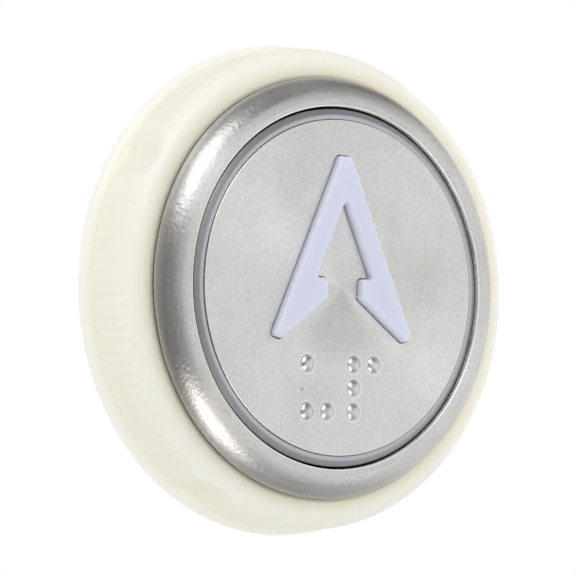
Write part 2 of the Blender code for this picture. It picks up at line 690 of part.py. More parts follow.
def make_connector(axis):
    """Four-way header: open nylon shroud and square pins."""
    top = BOARD_BOTTOM - GAP
    shroud = bmesh.new()
    add_box(shroud, (*CONNECTOR_SIZE, top - CONNECTOR_REAR),
            (0.0, 0.0, (top + CONNECTOR_REAR) / 2))
    housing = place("connector_housing", mesh_from(shroud, "connector_housing"),
                    CONNECTOR_WHITE, axis)
    cavity = bmesh.new()
    floor = top - 2 * CONNECTOR_WALL
    wall = 2 * CONNECTOR_WALL
    mouth = CONNECTOR_REAR - 1.0 * MM
    add_box(cavity, (CONNECTOR_SIZE[0] - wall, CONNECTOR_SIZE[1] - wall, floor - mouth),
            (0.0, 0.0, (floor + mouth) / 2))
    boolean(housing, "DIFFERENCE", cavity, "connector_cavity")
    slots = bmesh.new()
    slot_length = 4.0 * MM
    pin_slot = PIN_SIDE + 2 * GAP
    for index in range(PIN_COUNT):
        add_box(slots, (pin_slot, pin_slot, slot_length), (pin_x(index), 0.0, floor))
    latch_slot_x = 3.0 * MM
    latch_slot = (1.4 * MM, 2 * CONNECTOR_WALL, slot_length)
    for side in (-1, 1):
        add_box(slots, latch_slot, (side * latch_slot_x, CONNECTOR_SIZE[1] / 2, CONNECTOR_REAR))
    boolean(housing, "DIFFERENCE", slots, "connector_slots")
    pin_top = top - 0.1 * MM
    pin_length = 4.4 * MM
    pin = bmesh.new()
    add_box(pin, (PIN_SIDE, PIN_SIDE, pin_length), (0.0, 0.0, -pin_length / 2))
    mesh = mesh_from(pin, "connector_pin")
    for index in range(PIN_COUNT):
        place(f"connector_pin_{index + 1}", mesh, TINNED, axis, (pin_x(index), 0.0, pin_top))


# ---------------------------------------------------------------- build

def build():
    """Build every piece on the axis of the body that it belongs to."""
    button_axis = empty("button_axis")
    pressel_axis = empty("pressel_axis", button_axis)
    switch_axis = empty("switch_axis", button_axis)
    nut_axis = empty("nut_axis", button_axis)
    make_bezel(button_axis)
    make_panel_gasket(button_axis)
    make_barrel(button_axis)
    make_rear_cover(button_axis)
    make_cover_screws(button_axis)
    make_circuit_board(button_axis)
    make_leds(button_axis)
    make_switch(button_axis, switch_axis)
    make_connector(button_axis)
    make_face_plate(pressel_axis)
    make_arrow_lens(pressel_axis)
    make_halo_lens(pressel_axis)
    make_plunger(pressel_axis)
    make_return_springs(button_axis)
    make_keyed_washer(nut_axis)
    make_ring_nut(nut_axis)


clear_scene()
PARTS = new_collection("lift_push_button")
CUTTERS = new_collection("cutters")
build()
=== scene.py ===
"""Looks of a panel-mounted lift call button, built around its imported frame.

Shapes are worked out in the button's own axes (+X right, +Y up, +Z out of the front, in
metres) and turned into the frame's axes, where the front faces -Y, when a piece is
finished.
"""
import json
import logging
from dataclasses import dataclass, field
from enum import Enum
from math import asin, atan2, cos, hypot, pi, radians, sin, sqrt, tau
from typing import Iterable, Sequence

import bmesh
import bpy
from mathutils import Matrix, Vector

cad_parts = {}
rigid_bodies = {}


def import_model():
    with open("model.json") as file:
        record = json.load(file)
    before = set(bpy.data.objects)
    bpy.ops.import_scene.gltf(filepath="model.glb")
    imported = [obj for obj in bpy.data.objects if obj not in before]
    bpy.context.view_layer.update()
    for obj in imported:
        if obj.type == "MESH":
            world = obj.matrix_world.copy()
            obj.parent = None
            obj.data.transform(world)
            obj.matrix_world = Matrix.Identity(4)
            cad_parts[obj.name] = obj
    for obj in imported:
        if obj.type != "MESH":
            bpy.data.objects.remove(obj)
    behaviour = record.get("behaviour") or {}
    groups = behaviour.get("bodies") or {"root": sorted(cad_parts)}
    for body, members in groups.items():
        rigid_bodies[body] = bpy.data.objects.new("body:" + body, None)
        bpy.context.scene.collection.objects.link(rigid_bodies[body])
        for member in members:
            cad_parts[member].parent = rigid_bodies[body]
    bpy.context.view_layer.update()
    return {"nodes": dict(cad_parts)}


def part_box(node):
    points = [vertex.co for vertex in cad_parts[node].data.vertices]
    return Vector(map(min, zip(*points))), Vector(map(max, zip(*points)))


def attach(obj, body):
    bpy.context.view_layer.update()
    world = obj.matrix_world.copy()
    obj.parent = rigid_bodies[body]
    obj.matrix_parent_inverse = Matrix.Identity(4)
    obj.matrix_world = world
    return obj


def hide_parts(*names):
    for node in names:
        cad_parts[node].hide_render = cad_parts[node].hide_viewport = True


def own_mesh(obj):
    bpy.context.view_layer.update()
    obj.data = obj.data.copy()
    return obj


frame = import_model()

LOG = logging.getLogger("call_button")
MM = 0.001
TO_FRAME = Matrix.Rotation(pi / 2, 4, "X")
Corner = tuple[float, float, float]
Colour = tuple[float, float, float]


class Body(Enum):
    """The moving bodies that a piece can ride on."""

    HOUSING = "housing"
    PRESSEL = "pressel"
    NUT = "nut"


# ------------------------------------------------------------------ measuring the frame

def height_span(node: str) -> tuple[float, float]:
    """Lowest and highest height of a node along the button's front axis.

    Args:
        node: name of the CAD node.

    Returns:
        Lowest and highest height in metres, towards the front.
    """
    low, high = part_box(node)
    return -high.y, -low.y


def outer_radius(node: str) -> float:
    """Outer radius of a round node about the button's axis.

    Args:
        node: name of the CAD node.

    Returns:
        Half of the node's width along X.
    """
    low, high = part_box(node)
    return (high.x - low.x) / 2


# ------------------------------------------------------------------ shaping helpers

def rounded(corners: Sequence[Corner], closed: bool, steps: int = 5) -> list[Vector]:
    """Round the corners of a flat outline.

    Args:
        corners: points (x, y, corner radius) in order.
        closed: whether the last corner leads back to the first.
        steps: points on each rounded corner.

    Returns:
        Points of the rounded outline.
    """
    points: list[Vector] = []
    last = len(corners) - 1
    for index, (x, y, radius) in enumerate(corners):
        here = Vector((x, y))
        if radius <= 0 or (not closed and index in (0, last)):
            points.append(here)
            continue
        before = (Vector(corners[index - 1][:2]) - here).normalized()
        after = (Vector(corners[(index + 1) % len(corners)][:2]) - here).normalized()
        half = before.angle(after) / 2
        middle = here + (before + after).normalized() * (radius / sin(half))
        start = here + before * (radius * cos(half) / sin(half)) - middle
        sweep = start.angle_signed(here + after * (radius * cos(half) / sin(half)) - middle)
        for step in range(steps):
            turn = Matrix.Rotation(-sweep * step / (steps - 1), 2)
            points.append(middle + turn @ start)
    return points


def in_mm(corners: Iterable[Corner]) -> list[Corner]:
    """Corners given in millimetres, as metres."""
    return [(x * MM, y * MM, radius * MM) for x, y, radius in corners]


def spun(profile: Sequence[Vector], steps: int, closed: bool) -> bmesh.types.BMesh:
    """Turn a profile of (radius, height) points about the button's axis.

    Args:
        profile: points of the section.
        steps: faces around.
        closed: whether the section is a loop, or ends on the axis.

    Returns:
        A closed shell with its faces outwards.
    """
    bm = bmesh.new()
    verts = [bm.verts.new((point.x, 0.0, point.y)) for point in profile]
    edges = [bm.edges.new(pair) for pair in zip(verts, verts[1:])]
    if closed:
        edges.append(bm.edges.new((verts[-1], verts[0])))
    bmesh.ops.spin(bm, geom=verts + edges, cent=(0, 0, 0), axis=(0, 0, 1), angle=tau,
                   steps=steps, use_merge=True, use_duplicate=False)
    bmesh.ops.remove_doubles(bm, verts=bm.verts, dist=1e-7)
    bmesh.ops.recalc_face_normals(bm, faces=bm.faces)
    return bm


def slab(outline: Sequence[Vector], bottom: float, top: float) -> bmesh.types.BMesh:
    """Extrude a flat outline between two heights.

    Args:
        outline: points around the shape.
        bottom: height of the lower face.
        top: height of the upper face.

    Returns:
        A closed prism.
    """
    bm = bmesh.new()
    verts = [bm.verts.new((point.x, point.y, bottom)) for point in outline]
    edges = [bm.edges.new(pair) for pair in zip(verts, verts[1:] + verts[:1])]
    base = bmesh.ops.contextual_create(bm, geom=edges)["faces"]
    raised = bmesh.ops.extrude_face_region(bm, geom=base, use_keep_orig=True)["geom"]
    moved = [item for item in raised if isinstance(item, bmesh.types.BMVert)]
    bmesh.ops.translate(bm, verts=moved, vec=(0, 0, top - bottom))
    bmesh.ops.recalc_face_normals(bm, faces=bm.faces)
    return bm


def soften(bm: bmesh.types.BMesh, edges: Sequence[bmesh.types.BMEdge], width: float,
           segments: int) -> None:
    """Round some edges of a bmesh.

    Args:
        bm: the mesh being made.
        edges: the edges to round.
        width: bevel width in metres.
        segments: faces across the rounding.
    """
    bmesh.ops.bevel(bm, geom=list(edges), offset=width, segments=segments, affect="EDGES",
                    profile=0.5, material=-1, clamp_overlap=True)


def sharp_edges(bm: bmesh.types.BMesh, angle: float = 0.6) -> list[bmesh.types.BMEdge]:
    """Edges whose two faces meet at more than an angle."""
    return [edge for edge in bm.edges
            if len(edge.link_faces) == 2 and edge.calc_face_angle() > angle]


def block(size: Sequence[float], centre: Sequence[float], soft: float = 0.0,
          segments: int = 2) -> bmesh.types.BMesh:
    """A box with rounded edges, in the button's axes.

    Args:
        size: lengths along x, y and height.
        centre: its middle.
        soft: edge rounding in metres.
        segments: faces across the rounding.

    Returns:
        The box.
    """
    bm = bmesh.new()
    spot = Matrix.Translation(Vector(centre)) @ Matrix.Diagonal((*size, 1.0))
    bmesh.ops.create_cube(bm, size=1.0, matrix=spot)
    if soft > 0:
        soften(bm, bm.edges[:], soft, segments)
    return bm


def add(bm: bmesh.types.BMesh, other: bmesh.types.BMesh, matrix: Matrix | None = None) -> None:
    """Join another bmesh into this one and free it."""
    if matrix is not None:
        bmesh.ops.transform(other, matrix=matrix, verts=other.verts)
    part = bpy.data.meshes.new("joined")
    other.to_mesh(part)
    other.free()
    bm.from_mesh(part)
    bpy.data.meshes.remove(part)


def cut(bm: bmesh.types.BMesh, tool: bmesh.types.BMesh) -> bmesh.types.BMesh:
    """Cut one closed bmesh from another.

    Args:
        bm: the shape that is cut; it is freed.
        tool: what is taken away; it is freed.

    Returns:
        The shape that is left.
    """
    sides = []
    for source, label in ((bm, "shape"), (tool, "tool")):
        mesh = bpy.data.meshes.new(label)
        source.to_mesh(mesh)
        source.free()
        holder = bpy.data.objects.new(label, mesh)
        bpy.context.scene.collection.objects.link(holder)
        sides.append(holder)
    step = sides[0].modifiers.new("cut", "BOOLEAN")
    step.operation = "DIFFERENCE"
    step.solver = "EXACT"
    step.object = sides[1]
    graph = bpy.context.evaluated_depsgraph_get()
    left = bmesh.new()
    left.from_object(sides[0], graph)
    for holder in sides:
        mesh = holder.data
        bpy.data.objects.remove(holder)
        bpy.data.meshes.remove(mesh)
    return left


def finish_piece(bm: bmesh.types.BMesh, name: str, body: Body,
                 material: bpy.types.Material, replaces: Sequence[str],
                 crease: float = 40.0) -> bpy.types.Object:
    """Turn a bmesh into a finished piece of the button.

    Args:
        bm: the shape in the button's axes; it is freed.
        name: the piece's name.
        body: what it moves with.
        material: its finish.
        replaces: the CAD nodes that it stands for.
        crease: edges sharper than this angle in degrees stay sharp.

    Returns:
        The finished object, at the origin.
    """
    bmesh.ops.transform(bm, matrix=TO_FRAME, verts=bm.verts)
    mesh = bpy.data.meshes.new(name)
    bm.to_mesh(mesh)
    bm.free()
    mesh.shade_smooth()
    mesh.set_sharp_from_angle(angle=radians(crease))
    mesh.materials.append(material)
    piece = bpy.data.objects.new(name, mesh)
    bpy.context.scene.collection.objects.link(piece)
    evened = piece.modifiers.new("even_shading", "WEIGHTED_NORMAL")
    evened.keep_sharp = True
    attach(piece, body.value)
    if replaces:
        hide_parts(*replaces)
    LOG.info("%s rides on %s and stands for %s", name, body.value, ", ".join(replaces) or "nothing")
    return piece


def dress(nodes: Iterable[str], material: bpy.types.Material) -> None:
    """Give carried-over CAD nodes their finish."""
    for node in nodes:
        mesh = frame["nodes"][node].data
        mesh.materials.clear()
        mesh.materials.append(material)
        LOG.info("%s is dressed in %s", node, material.name)


def lay_out(tree: bpy.types.NodeTree) -> None:
    """Spread a material's nodes so that its groups read from left to right."""
    columns: dict[str, int] = {}
    frames = [node for node in tree.nodes if node.type == "FRAME"]
    for row, group in enumerate(frames):
        columns[group.name] = 0
        group.location = (0.0, -420.0 * row)
    for node in tree.nodes:
        if node.type == "FRAME":
            continue
        key = node.parent.name if node.parent else "loose"
        place = columns.get(key, 0)
        node.location = (190.0 * place, 0.0) if node.parent else (1900.0 + 260.0 * place, 0.0)
        columns[key] = place + 1


# ------------------------------------------------------------------ finishes

@dataclass(frozen=True)
class WorkedMetal:
    """Turned or brushed metal whose lines run around a centre."""

    name: str
    light: Colour = (0.62, 0.61, 0.59)
    dark: Colour = (0.48, 0.47, 0.45)
    roughness: float = 0.28
    centre: tuple[float, float] = (0.0, 0.0)
    lines_per_mm: float = 5.0
    arc_detail: float = 2.2
    line_depth: float = 0.25
    wave_depth: float = 0.25
    blotch_scale: float = 130.0
    pit_amount: float = 0.5
    metallic: float = 1.0
    peel_scale: float = 2600.0
    peel_depth: float = 0.2
    anisotropy: float = 0.5
    # Strength of the near-white steel at edges: partly burnished wear, partly painted highlight.
    edge_polish_highlight: float = 0.6
    mottle: float = 0.0
    # The next two settings paint shade: a darker fan below the centre that stands in for the darker
    # reflection of turned steel.
    painted_fan: float = 0.0
    painted_fan_reach: float = 9.0 * MM

    def material(self) -> bpy.types.Material:
        """Write the finish out as a material.

        Returns:
            The material, with its nodes grouped by effect.
        """
        made = bpy.data.materials.new(self.name)
        made.use_nodes = True
        tree = made.node_tree
        nodes, links = tree.nodes, tree.links
        nodes.clear()

        place = nodes.new("NodeFrame")
        place.label = "Where the tool marks run"
        position = nodes.new("ShaderNodeTexCoord")
        position.label = "Position on the button"
        position.parent = place
        centred = nodes.new("ShaderNodeMapping")
        centred.label = "Brushing centre"
        centred.inputs["Location"].default_value = (-self.centre[0], 0.0, -self.centre[1])
        centred.parent = place
        axes = nodes.new("ShaderNodeSeparateXYZ")
        axes.label = "Sideways, depth, height"
        axes.parent = place
        flat = nodes.new("ShaderNodeCombineXYZ")
        flat.label = "Spoke from the centre"
        flat.parent = place
        spoke = nodes.new("ShaderNodeVectorMath")
        spoke.label = "Distance from the centre"
        spoke.operation = "LENGTH"
        spoke.parent = place
        bearing = nodes.new("ShaderNodeVectorMath")
        bearing.label = "Bearing around the centre"
        bearing.operation = "NORMALIZE"
        bearing.parent = place
        travel = nodes.new("ShaderNodeMath")
        travel.label = "Across the tool marks"
        travel.operation = "SUBTRACT"
        travel.parent = place
        track = nodes.new("ShaderNodeMath")
        track.label = "Tool marks per millimetre"
        track.operation = "MULTIPLY"
        track.inputs[1].default_value = self.lines_per_mm / MM
        track.parent = place
        lane = nodes.new("ShaderNodeCombineXYZ")
        lane.label = "Lane of each mark"
        lane.parent = place
        groove = nodes.new("ShaderNodeVectorMath")
        groove.label = "Marks stretched around"
        groove.operation = "MULTIPLY_ADD"
        groove.inputs[1].default_value = (self.arc_detail,) * 3
        groove.parent = place
        links.new(position.outputs["Object"], centred.inputs["Vector"])
        links.new(centred.outputs["Vector"], axes.inputs["Vector"])
        links.new(axes.outputs["X"], flat.inputs["X"])
        links.new(axes.outputs["Z"], flat.inputs["Z"])
        links.new(flat.outputs["Vector"], spoke.inputs[0])
        links.new(flat.outputs["Vector"], bearing.inputs[0])
        links.new(spoke.outputs["Value"], travel.inputs[0])
        links.new(axes.outputs["Y"], travel.inputs[1])
        links.new(travel.outputs["Value"], track.inputs[0])
        links.new(track.outputs["Value"], lane.inputs["Y"])
        links.new(bearing.outputs["Vector"], groove.inputs[0])
        links.new(lane.outputs["Vector"], groove.inputs[2])

        marks = nodes.new("NodeFrame")
        marks.label = "Tool marks"
        fine = nodes.new("ShaderNodeTexNoise")
        fine.label = "Fine brush lines"
        fine.inputs["Scale"].default_value = 1.0
        fine.inputs["Detail"].default_value = 4.0
        fine.inputs["Roughness"].default_value = 0.62
        fine.parent = marks
        broad = nodes.new("ShaderNodeTexNoise")
        broad.label = "Broader bands of the polish"
        broad.inputs["Scale"].default_value = 0.16
        broad.inputs["Detail"].default_value = 2.0
        broad.parent = marks
        woven = nodes.new("ShaderNodeMix")
        woven.label = "Lines over bands"
        woven.data_type = "FLOAT"
        woven.inputs["Factor"].default_value = 0.42
        woven.parent = marks
        links.new(groove.outputs["Vector"], fine.inputs["Vector"])
        links.new(groove.outputs["Vector"], broad.inputs["Vector"])
        links.new(fine.outputs["Fac"], woven.inputs["A"])
        links.new(broad.outputs["Fac"], woven.inputs["B"])

        wear = nodes.new("NodeFrame")
        wear.label = "Handling and small faults"
        cloud = nodes.new("ShaderNodeTexNoise")
        cloud.label = "Cloudy handling marks"
        cloud.inputs["Scale"].default_value = self.blotch_scale
        cloud.inputs["Detail"].default_value = 5.0
        cloud.inputs["Roughness"].default_value = 0.55
        cloud.parent = wear
        pit = nodes.new("ShaderNodeTexVoronoi")
        pit.label = "Scattered pin pricks"
        pit.inputs["Scale"].default_value = 210.0
        pit.parent = wear
        pit_edge = nodes.new("ShaderNodeMapRange")
        pit_edge.label = "Only the very middle is a prick"
        pit_edge.inputs["From Min"].default_value = 0.03
        pit_edge.inputs["From Max"].default_value = 0.055
        pit_edge.inputs["To Min"].default_value = 1.0
        pit_edge.inputs["To Max"].default_value = 0.0
        pit_edge.parent = wear
        rare = nodes.new("ShaderNodeTexNoise")
        rare.label = "Where pricks occur"
        rare.inputs["Scale"].default_value = 320.0
        rare.parent = wear
        rare_edge = nodes.new("ShaderNodeMapRange")
        rare_edge.label = "Few places only"
        rare_edge.inputs["From Min"].default_value = 0.60
        rare_edge.inputs["From Max"].default_value = 0.68
        rare_edge.inputs["To Max"].default_value = self.pit_amount
        rare_edge.parent = wear
        pricks = nodes.new("ShaderNodeMath")
        pricks.label = "Few small pricks"
        pricks.operation = "MULTIPLY"
        pricks.parent = wear
        links.new(position.outputs["Object"], cloud.inputs["Vector"])
        links.new(position.outputs["Object"], pit.inputs["Vector"])
        links.new(position.outputs["Object"], rare.inputs["Vector"])
        links.new(pit.outputs["Distance"], pit_edge.inputs["Value"])
        links.new(rare.outputs["Fac"], rare_edge.inputs["Value"])
        links.new(pit_edge.outputs["Result"], pricks.inputs[0])
        links.new(rare_edge.outputs["Result"], pricks.inputs[1])

        tone = nodes.new("NodeFrame")
        tone.label = "Colour of the steel"
        contrast = nodes.new("ShaderNodeMapRange")
        contrast.label = "Contrast of the lines"
        contrast.inputs["From Min"].default_value = 0.36
        contrast.inputs["From Max"].default_value = 0.64
        contrast.parent = tone
        steel = nodes.new("ShaderNodeMix")
        steel.label = "Light and dark lines"
        steel.data_type = "RGBA"
        steel.inputs["A"].default_value = (*self.dark, 1.0)
        steel.inputs["B"].default_value = (*self.light, 1.0)
        steel.parent = tone
        clouded = nodes.new("ShaderNodeMix")
        clouded.label = "Handling warms the steel"
        clouded.data_type = "RGBA"
        clouded.blend_type = "MULTIPLY"
        clouded.inputs["B"].default_value = (0.90, 0.885, 0.86, 1.0)
        clouded.parent = tone
        cloud_range = nodes.new("ShaderNodeMapRange")
        cloud_range.label = "Handled patches"
        cloud_range.inputs["From Min"].default_value = 0.45
        cloud_range.inputs["From Max"].default_value = 0.75
        cloud_range.parent = tone
        pricked = nodes.new("ShaderNodeMix")
        pricked.label = "Dark pricks"
        pricked.data_type = "RGBA"
        pricked.inputs["B"].default_value = (0.10, 0.09, 0.08, 1.0)
        pricked.parent = tone
        links.new(woven.outputs["Result"], contrast.inputs["Value"])
        links.new(contrast.outputs["Result"], steel.inputs["Factor"])
        links.new(cloud.outputs["Fac"], cloud_range.inputs["Value"])
        links.new(cloud_range.outputs["Result"], clouded.inputs["Factor"])
        links.new(steel.outputs["Result"], clouded.inputs["A"])
        links.new(pricks.outputs["Value"], pricked.inputs["Factor"])

        # Painted shade: below the centre the colour is darkened in a fan, standing in for the darker
        # reflection that turned steel shows there.
        sheen = nodes.new("NodeFrame")
        sheen.label = "Mottling, and the darker fan of the turned face"
        peel = nodes.new("ShaderNodeTexNoise")
        peel.label = "Fine pebbled skin"
        peel.inputs["Scale"].default_value = self.peel_scale
        peel.inputs["Detail"].default_value = 3.0
        peel.parent = sheen
        speck = nodes.new("ShaderNodeMapRange")
        speck.label = "Lighter and darker specks"
        speck.inputs["From Min"].default_value = 0.30
        speck.inputs["From Max"].default_value = 0.70
        speck.inputs["To Min"].default_value = 0.86
        speck.inputs["To Max"].default_value = 1.10
        speck.parent = sheen
        mottled = nodes.new("ShaderNodeMix")
        mottled.label = "Specks over the colour"
        mottled.data_type = "RGBA"
        mottled.blend_type = "MULTIPLY"
        mottled.inputs["Factor"].default_value = self.mottle
        mottled.parent = sheen
        flattened = nodes.new("ShaderNodeVectorMath")
        flattened.label = "Drop the depth"
        flattened.operation = "MULTIPLY"
        flattened.inputs[1].default_value = (1.0, 0.0, 1.0)
        flattened.parent = sheen
        heading = nodes.new("ShaderNodeVectorMath")
        heading.label = "Heading from the axis"
        heading.operation = "NORMALIZE"
        heading.parent = sheen
        downwards = nodes.new("ShaderNodeVectorMath")
        downwards.label = "How far it heads down"
        downwards.operation = "DOT_PRODUCT"
        downwards.inputs[1].default_value = (0.0, 0.0, -1.0)
        downwards.parent = sheen
        painted_fan_sides = nodes.new("ShaderNodeMapRange")
        painted_fan_sides.label = "Soft sides of the fan"
        painted_fan_sides.interpolation_type = "SMOOTHSTEP"
        painted_fan_sides.inputs["From Min"].default_value = 0.60
        painted_fan_sides.inputs["From Max"].default_value = 0.90
        painted_fan_sides.inputs["To Max"].default_value = self.painted_fan
        painted_fan_sides.parent = sheen
        distance = nodes.new("ShaderNodeVectorMath")
        distance.label = "Distance from the axis"
        distance.operation = "LENGTH"
        distance.parent = sheen
        painted_fan_end = nodes.new("ShaderNodeMapRange")
        painted_fan_end.label = "Where the fan dies out"
        painted_fan_end.interpolation_type = "SMOOTHSTEP"
        painted_fan_end.inputs["From Min"].default_value = self.painted_fan_reach
        painted_fan_end.inputs["From Max"].default_value = self.painted_fan_reach * 0.55
        painted_fan_end.parent = sheen
        painted_fan_mask = nodes.new("ShaderNodeMath")
        painted_fan_mask.label = "Fan"
        painted_fan_mask.operation = "MULTIPLY"
        painted_fan_mask.parent = sheen
        painted_fanned = nodes.new("ShaderNodeMix")
        painted_fanned.label = "Darker fan"
        painted_fanned.data_type = "RGBA"
        painted_fanned.blend_type = "MULTIPLY"
        painted_fanned.inputs["B"].default_value = (0.80, 0.80, 0.795, 1.0)
        painted_fanned.parent = sheen
        links.new(position.outputs["Object"], peel.inputs["Vector"])
        links.new(peel.outputs["Fac"], speck.inputs["Value"])
        links.new(clouded.outputs["Result"], mottled.inputs["A"])
        links.new(speck.outputs["Result"], mottled.inputs["B"])
        links.new(position.outputs["Object"], flattened.inputs[0])
        links.new(flattened.outputs["Vector"], heading.inputs[0])
        links.new(heading.outputs["Vector"], downwards.inputs[0])
        links.new(downwards.outputs["Value"], painted_fan_sides.inputs["Value"])
        links.new(flattened.outputs["Vector"], distance.inputs[0])
        links.new(distance.outputs["Value"], painted_fan_end.inputs["Value"])
        links.new(painted_fan_sides.outputs["Result"], painted_fan_mask.inputs[0])
        links.new(painted_fan_end.outputs["Result"], painted_fan_mask.inputs[1])
        links.new(painted_fan_mask.outputs["Value"], painted_fanned.inputs["Factor"])
        links.new(mottled.outputs["Result"], painted_fanned.inputs["A"])
        links.new(painted_fanned.outputs["Result"], pricked.inputs["A"])

        gloss = nodes.new("NodeFrame")
        gloss.label = "Gloss"
        sheen_range = nodes.new("ShaderNodeMapRange")
        sheen_range.label = "Gloss follows the lines"
        sheen_range.inputs["From Min"].default_value = 0.3
        sheen_range.inputs["From Max"].default_value = 0.7
        sheen_range.inputs["To Min"].default_value = self.roughness * 0.85
        sheen_range.inputs["To Max"].default_value = self.roughness * 1.25
        sheen_range.parent = gloss
        links.new(woven.outputs["Result"], sheen_range.inputs["Value"])

        relief = nodes.new("NodeFrame")
        relief.label = "Relief"
        line_relief = nodes.new("ShaderNodeBump")
        line_relief.label = "Depth of the lines"
        line_relief.inputs["Strength"].default_value = self.line_depth
        line_relief.inputs["Distance"].default_value = 0.00002
        line_relief.parent = relief
        wave_relief = nodes.new("ShaderNodeBump")
        wave_relief.label = "Slight unevenness of the sheet"
        wave_relief.inputs["Strength"].default_value = self.wave_depth
        wave_relief.inputs["Distance"].default_value = 0.00005
        wave_relief.parent = relief
        peel_relief = nodes.new("ShaderNodeBump")
        peel_relief.label = "Pebbled relief"
        peel_relief.inputs["Strength"].default_value = self.peel_depth
        peel_relief.inputs["Distance"].default_value = 0.0001
        peel_relief.parent = relief
        links.new(peel.outputs["Fac"], peel_relief.inputs["Height"])
        links.new(woven.outputs["Result"], line_relief.inputs["Height"])
        links.new(cloud.outputs["Fac"], wave_relief.inputs["Height"])
        links.new(wave_relief.outputs["Normal"], peel_relief.inputs["Normal"])
        links.new(peel_relief.outputs["Normal"], line_relief.inputs["Normal"])

        # Partly wear and partly painted highlight: where the rounded surface parts from the true one,
        # the base colour goes near white. This stands for edges that catch the light as well as for
        # burnished ones.
        edges = nodes.new("NodeFrame")
        edges.label = "Bright worn edges"
        softened = nodes.new("ShaderNodeBevel")
        softened.label = "Surface with its edges rounded"
        softened.samples = 4
        softened.inputs["Radius"].default_value = 0.00022
        softened.parent = edges
        true_shape = nodes.new("ShaderNodeNewGeometry")
        true_shape.label = "Surface as it is"
        true_shape.parent = edges
        agreement = nodes.new("ShaderNodeVectorMath")
        agreement.label = "Where the two agree"
        agreement.operation = "DOT_PRODUCT"
        agreement.parent = edges
        edge_wear_and_highlight = nodes.new("ShaderNodeMapRange")
        edge_wear_and_highlight.label = "Only at edges"
        edge_wear_and_highlight.inputs["From Min"].default_value = 0.99
        edge_wear_and_highlight.inputs["From Max"].default_value = 0.90
        edge_wear_and_highlight.inputs["To Max"].default_value = self.edge_polish_highlight
        edge_wear_and_highlight.parent = edges
        edge_highlight = nodes.new("ShaderNodeMix")
        edge_highlight.label = "Brighter steel at edges"
        edge_highlight.data_type = "RGBA"
        edge_highlight.inputs["B"].default_value = (0.97, 0.97, 0.96, 1.0)
        edge_highlight.parent = edges
        links.new(softened.outputs["Normal"], agreement.inputs[0])
        links.new(true_shape.outputs["Normal"], agreement.inputs[1])
        links.new(agreement.outputs["Value"], edge_wear_and_highlight.inputs["Value"])
        links.new(edge_wear_and_highlight.outputs["Result"], edge_highlight.inputs["Factor"])
        links.new(pricked.outputs["Result"], edge_highlight.inputs["A"])

        along = nodes.new("ShaderNodeTangent")
        along.label = "Tool marks run around the axis"
        along.direction_type = "RADIAL"
        along.axis = "Y"

        shader = nodes.new("ShaderNodeBsdfPrincipled")
        shader.label = "Steel"
        shader.inputs["Metallic"].default_value = self.metallic
        shader.inputs["Anisotropic"].default_value = self.anisotropy
        shader.inputs["Anisotropic Rotation"].default_value = 0.25
        output = nodes.new("ShaderNodeOutputMaterial")
        output.label = "Surface"
        links.new(along.outputs["Tangent"], shader.inputs["Tangent"])
        links.new(edge_highlight.outputs["Result"], shader.inputs["Base Color"])
        links.new(sheen_range.outputs["Result"], shader.inputs["Roughness"])
        links.new(line_relief.outputs["Normal"], shader.inputs["Normal"])
        links.new(shader.outputs["BSDF"], output.inputs["Surface"])
        lay_out(tree)
        return made


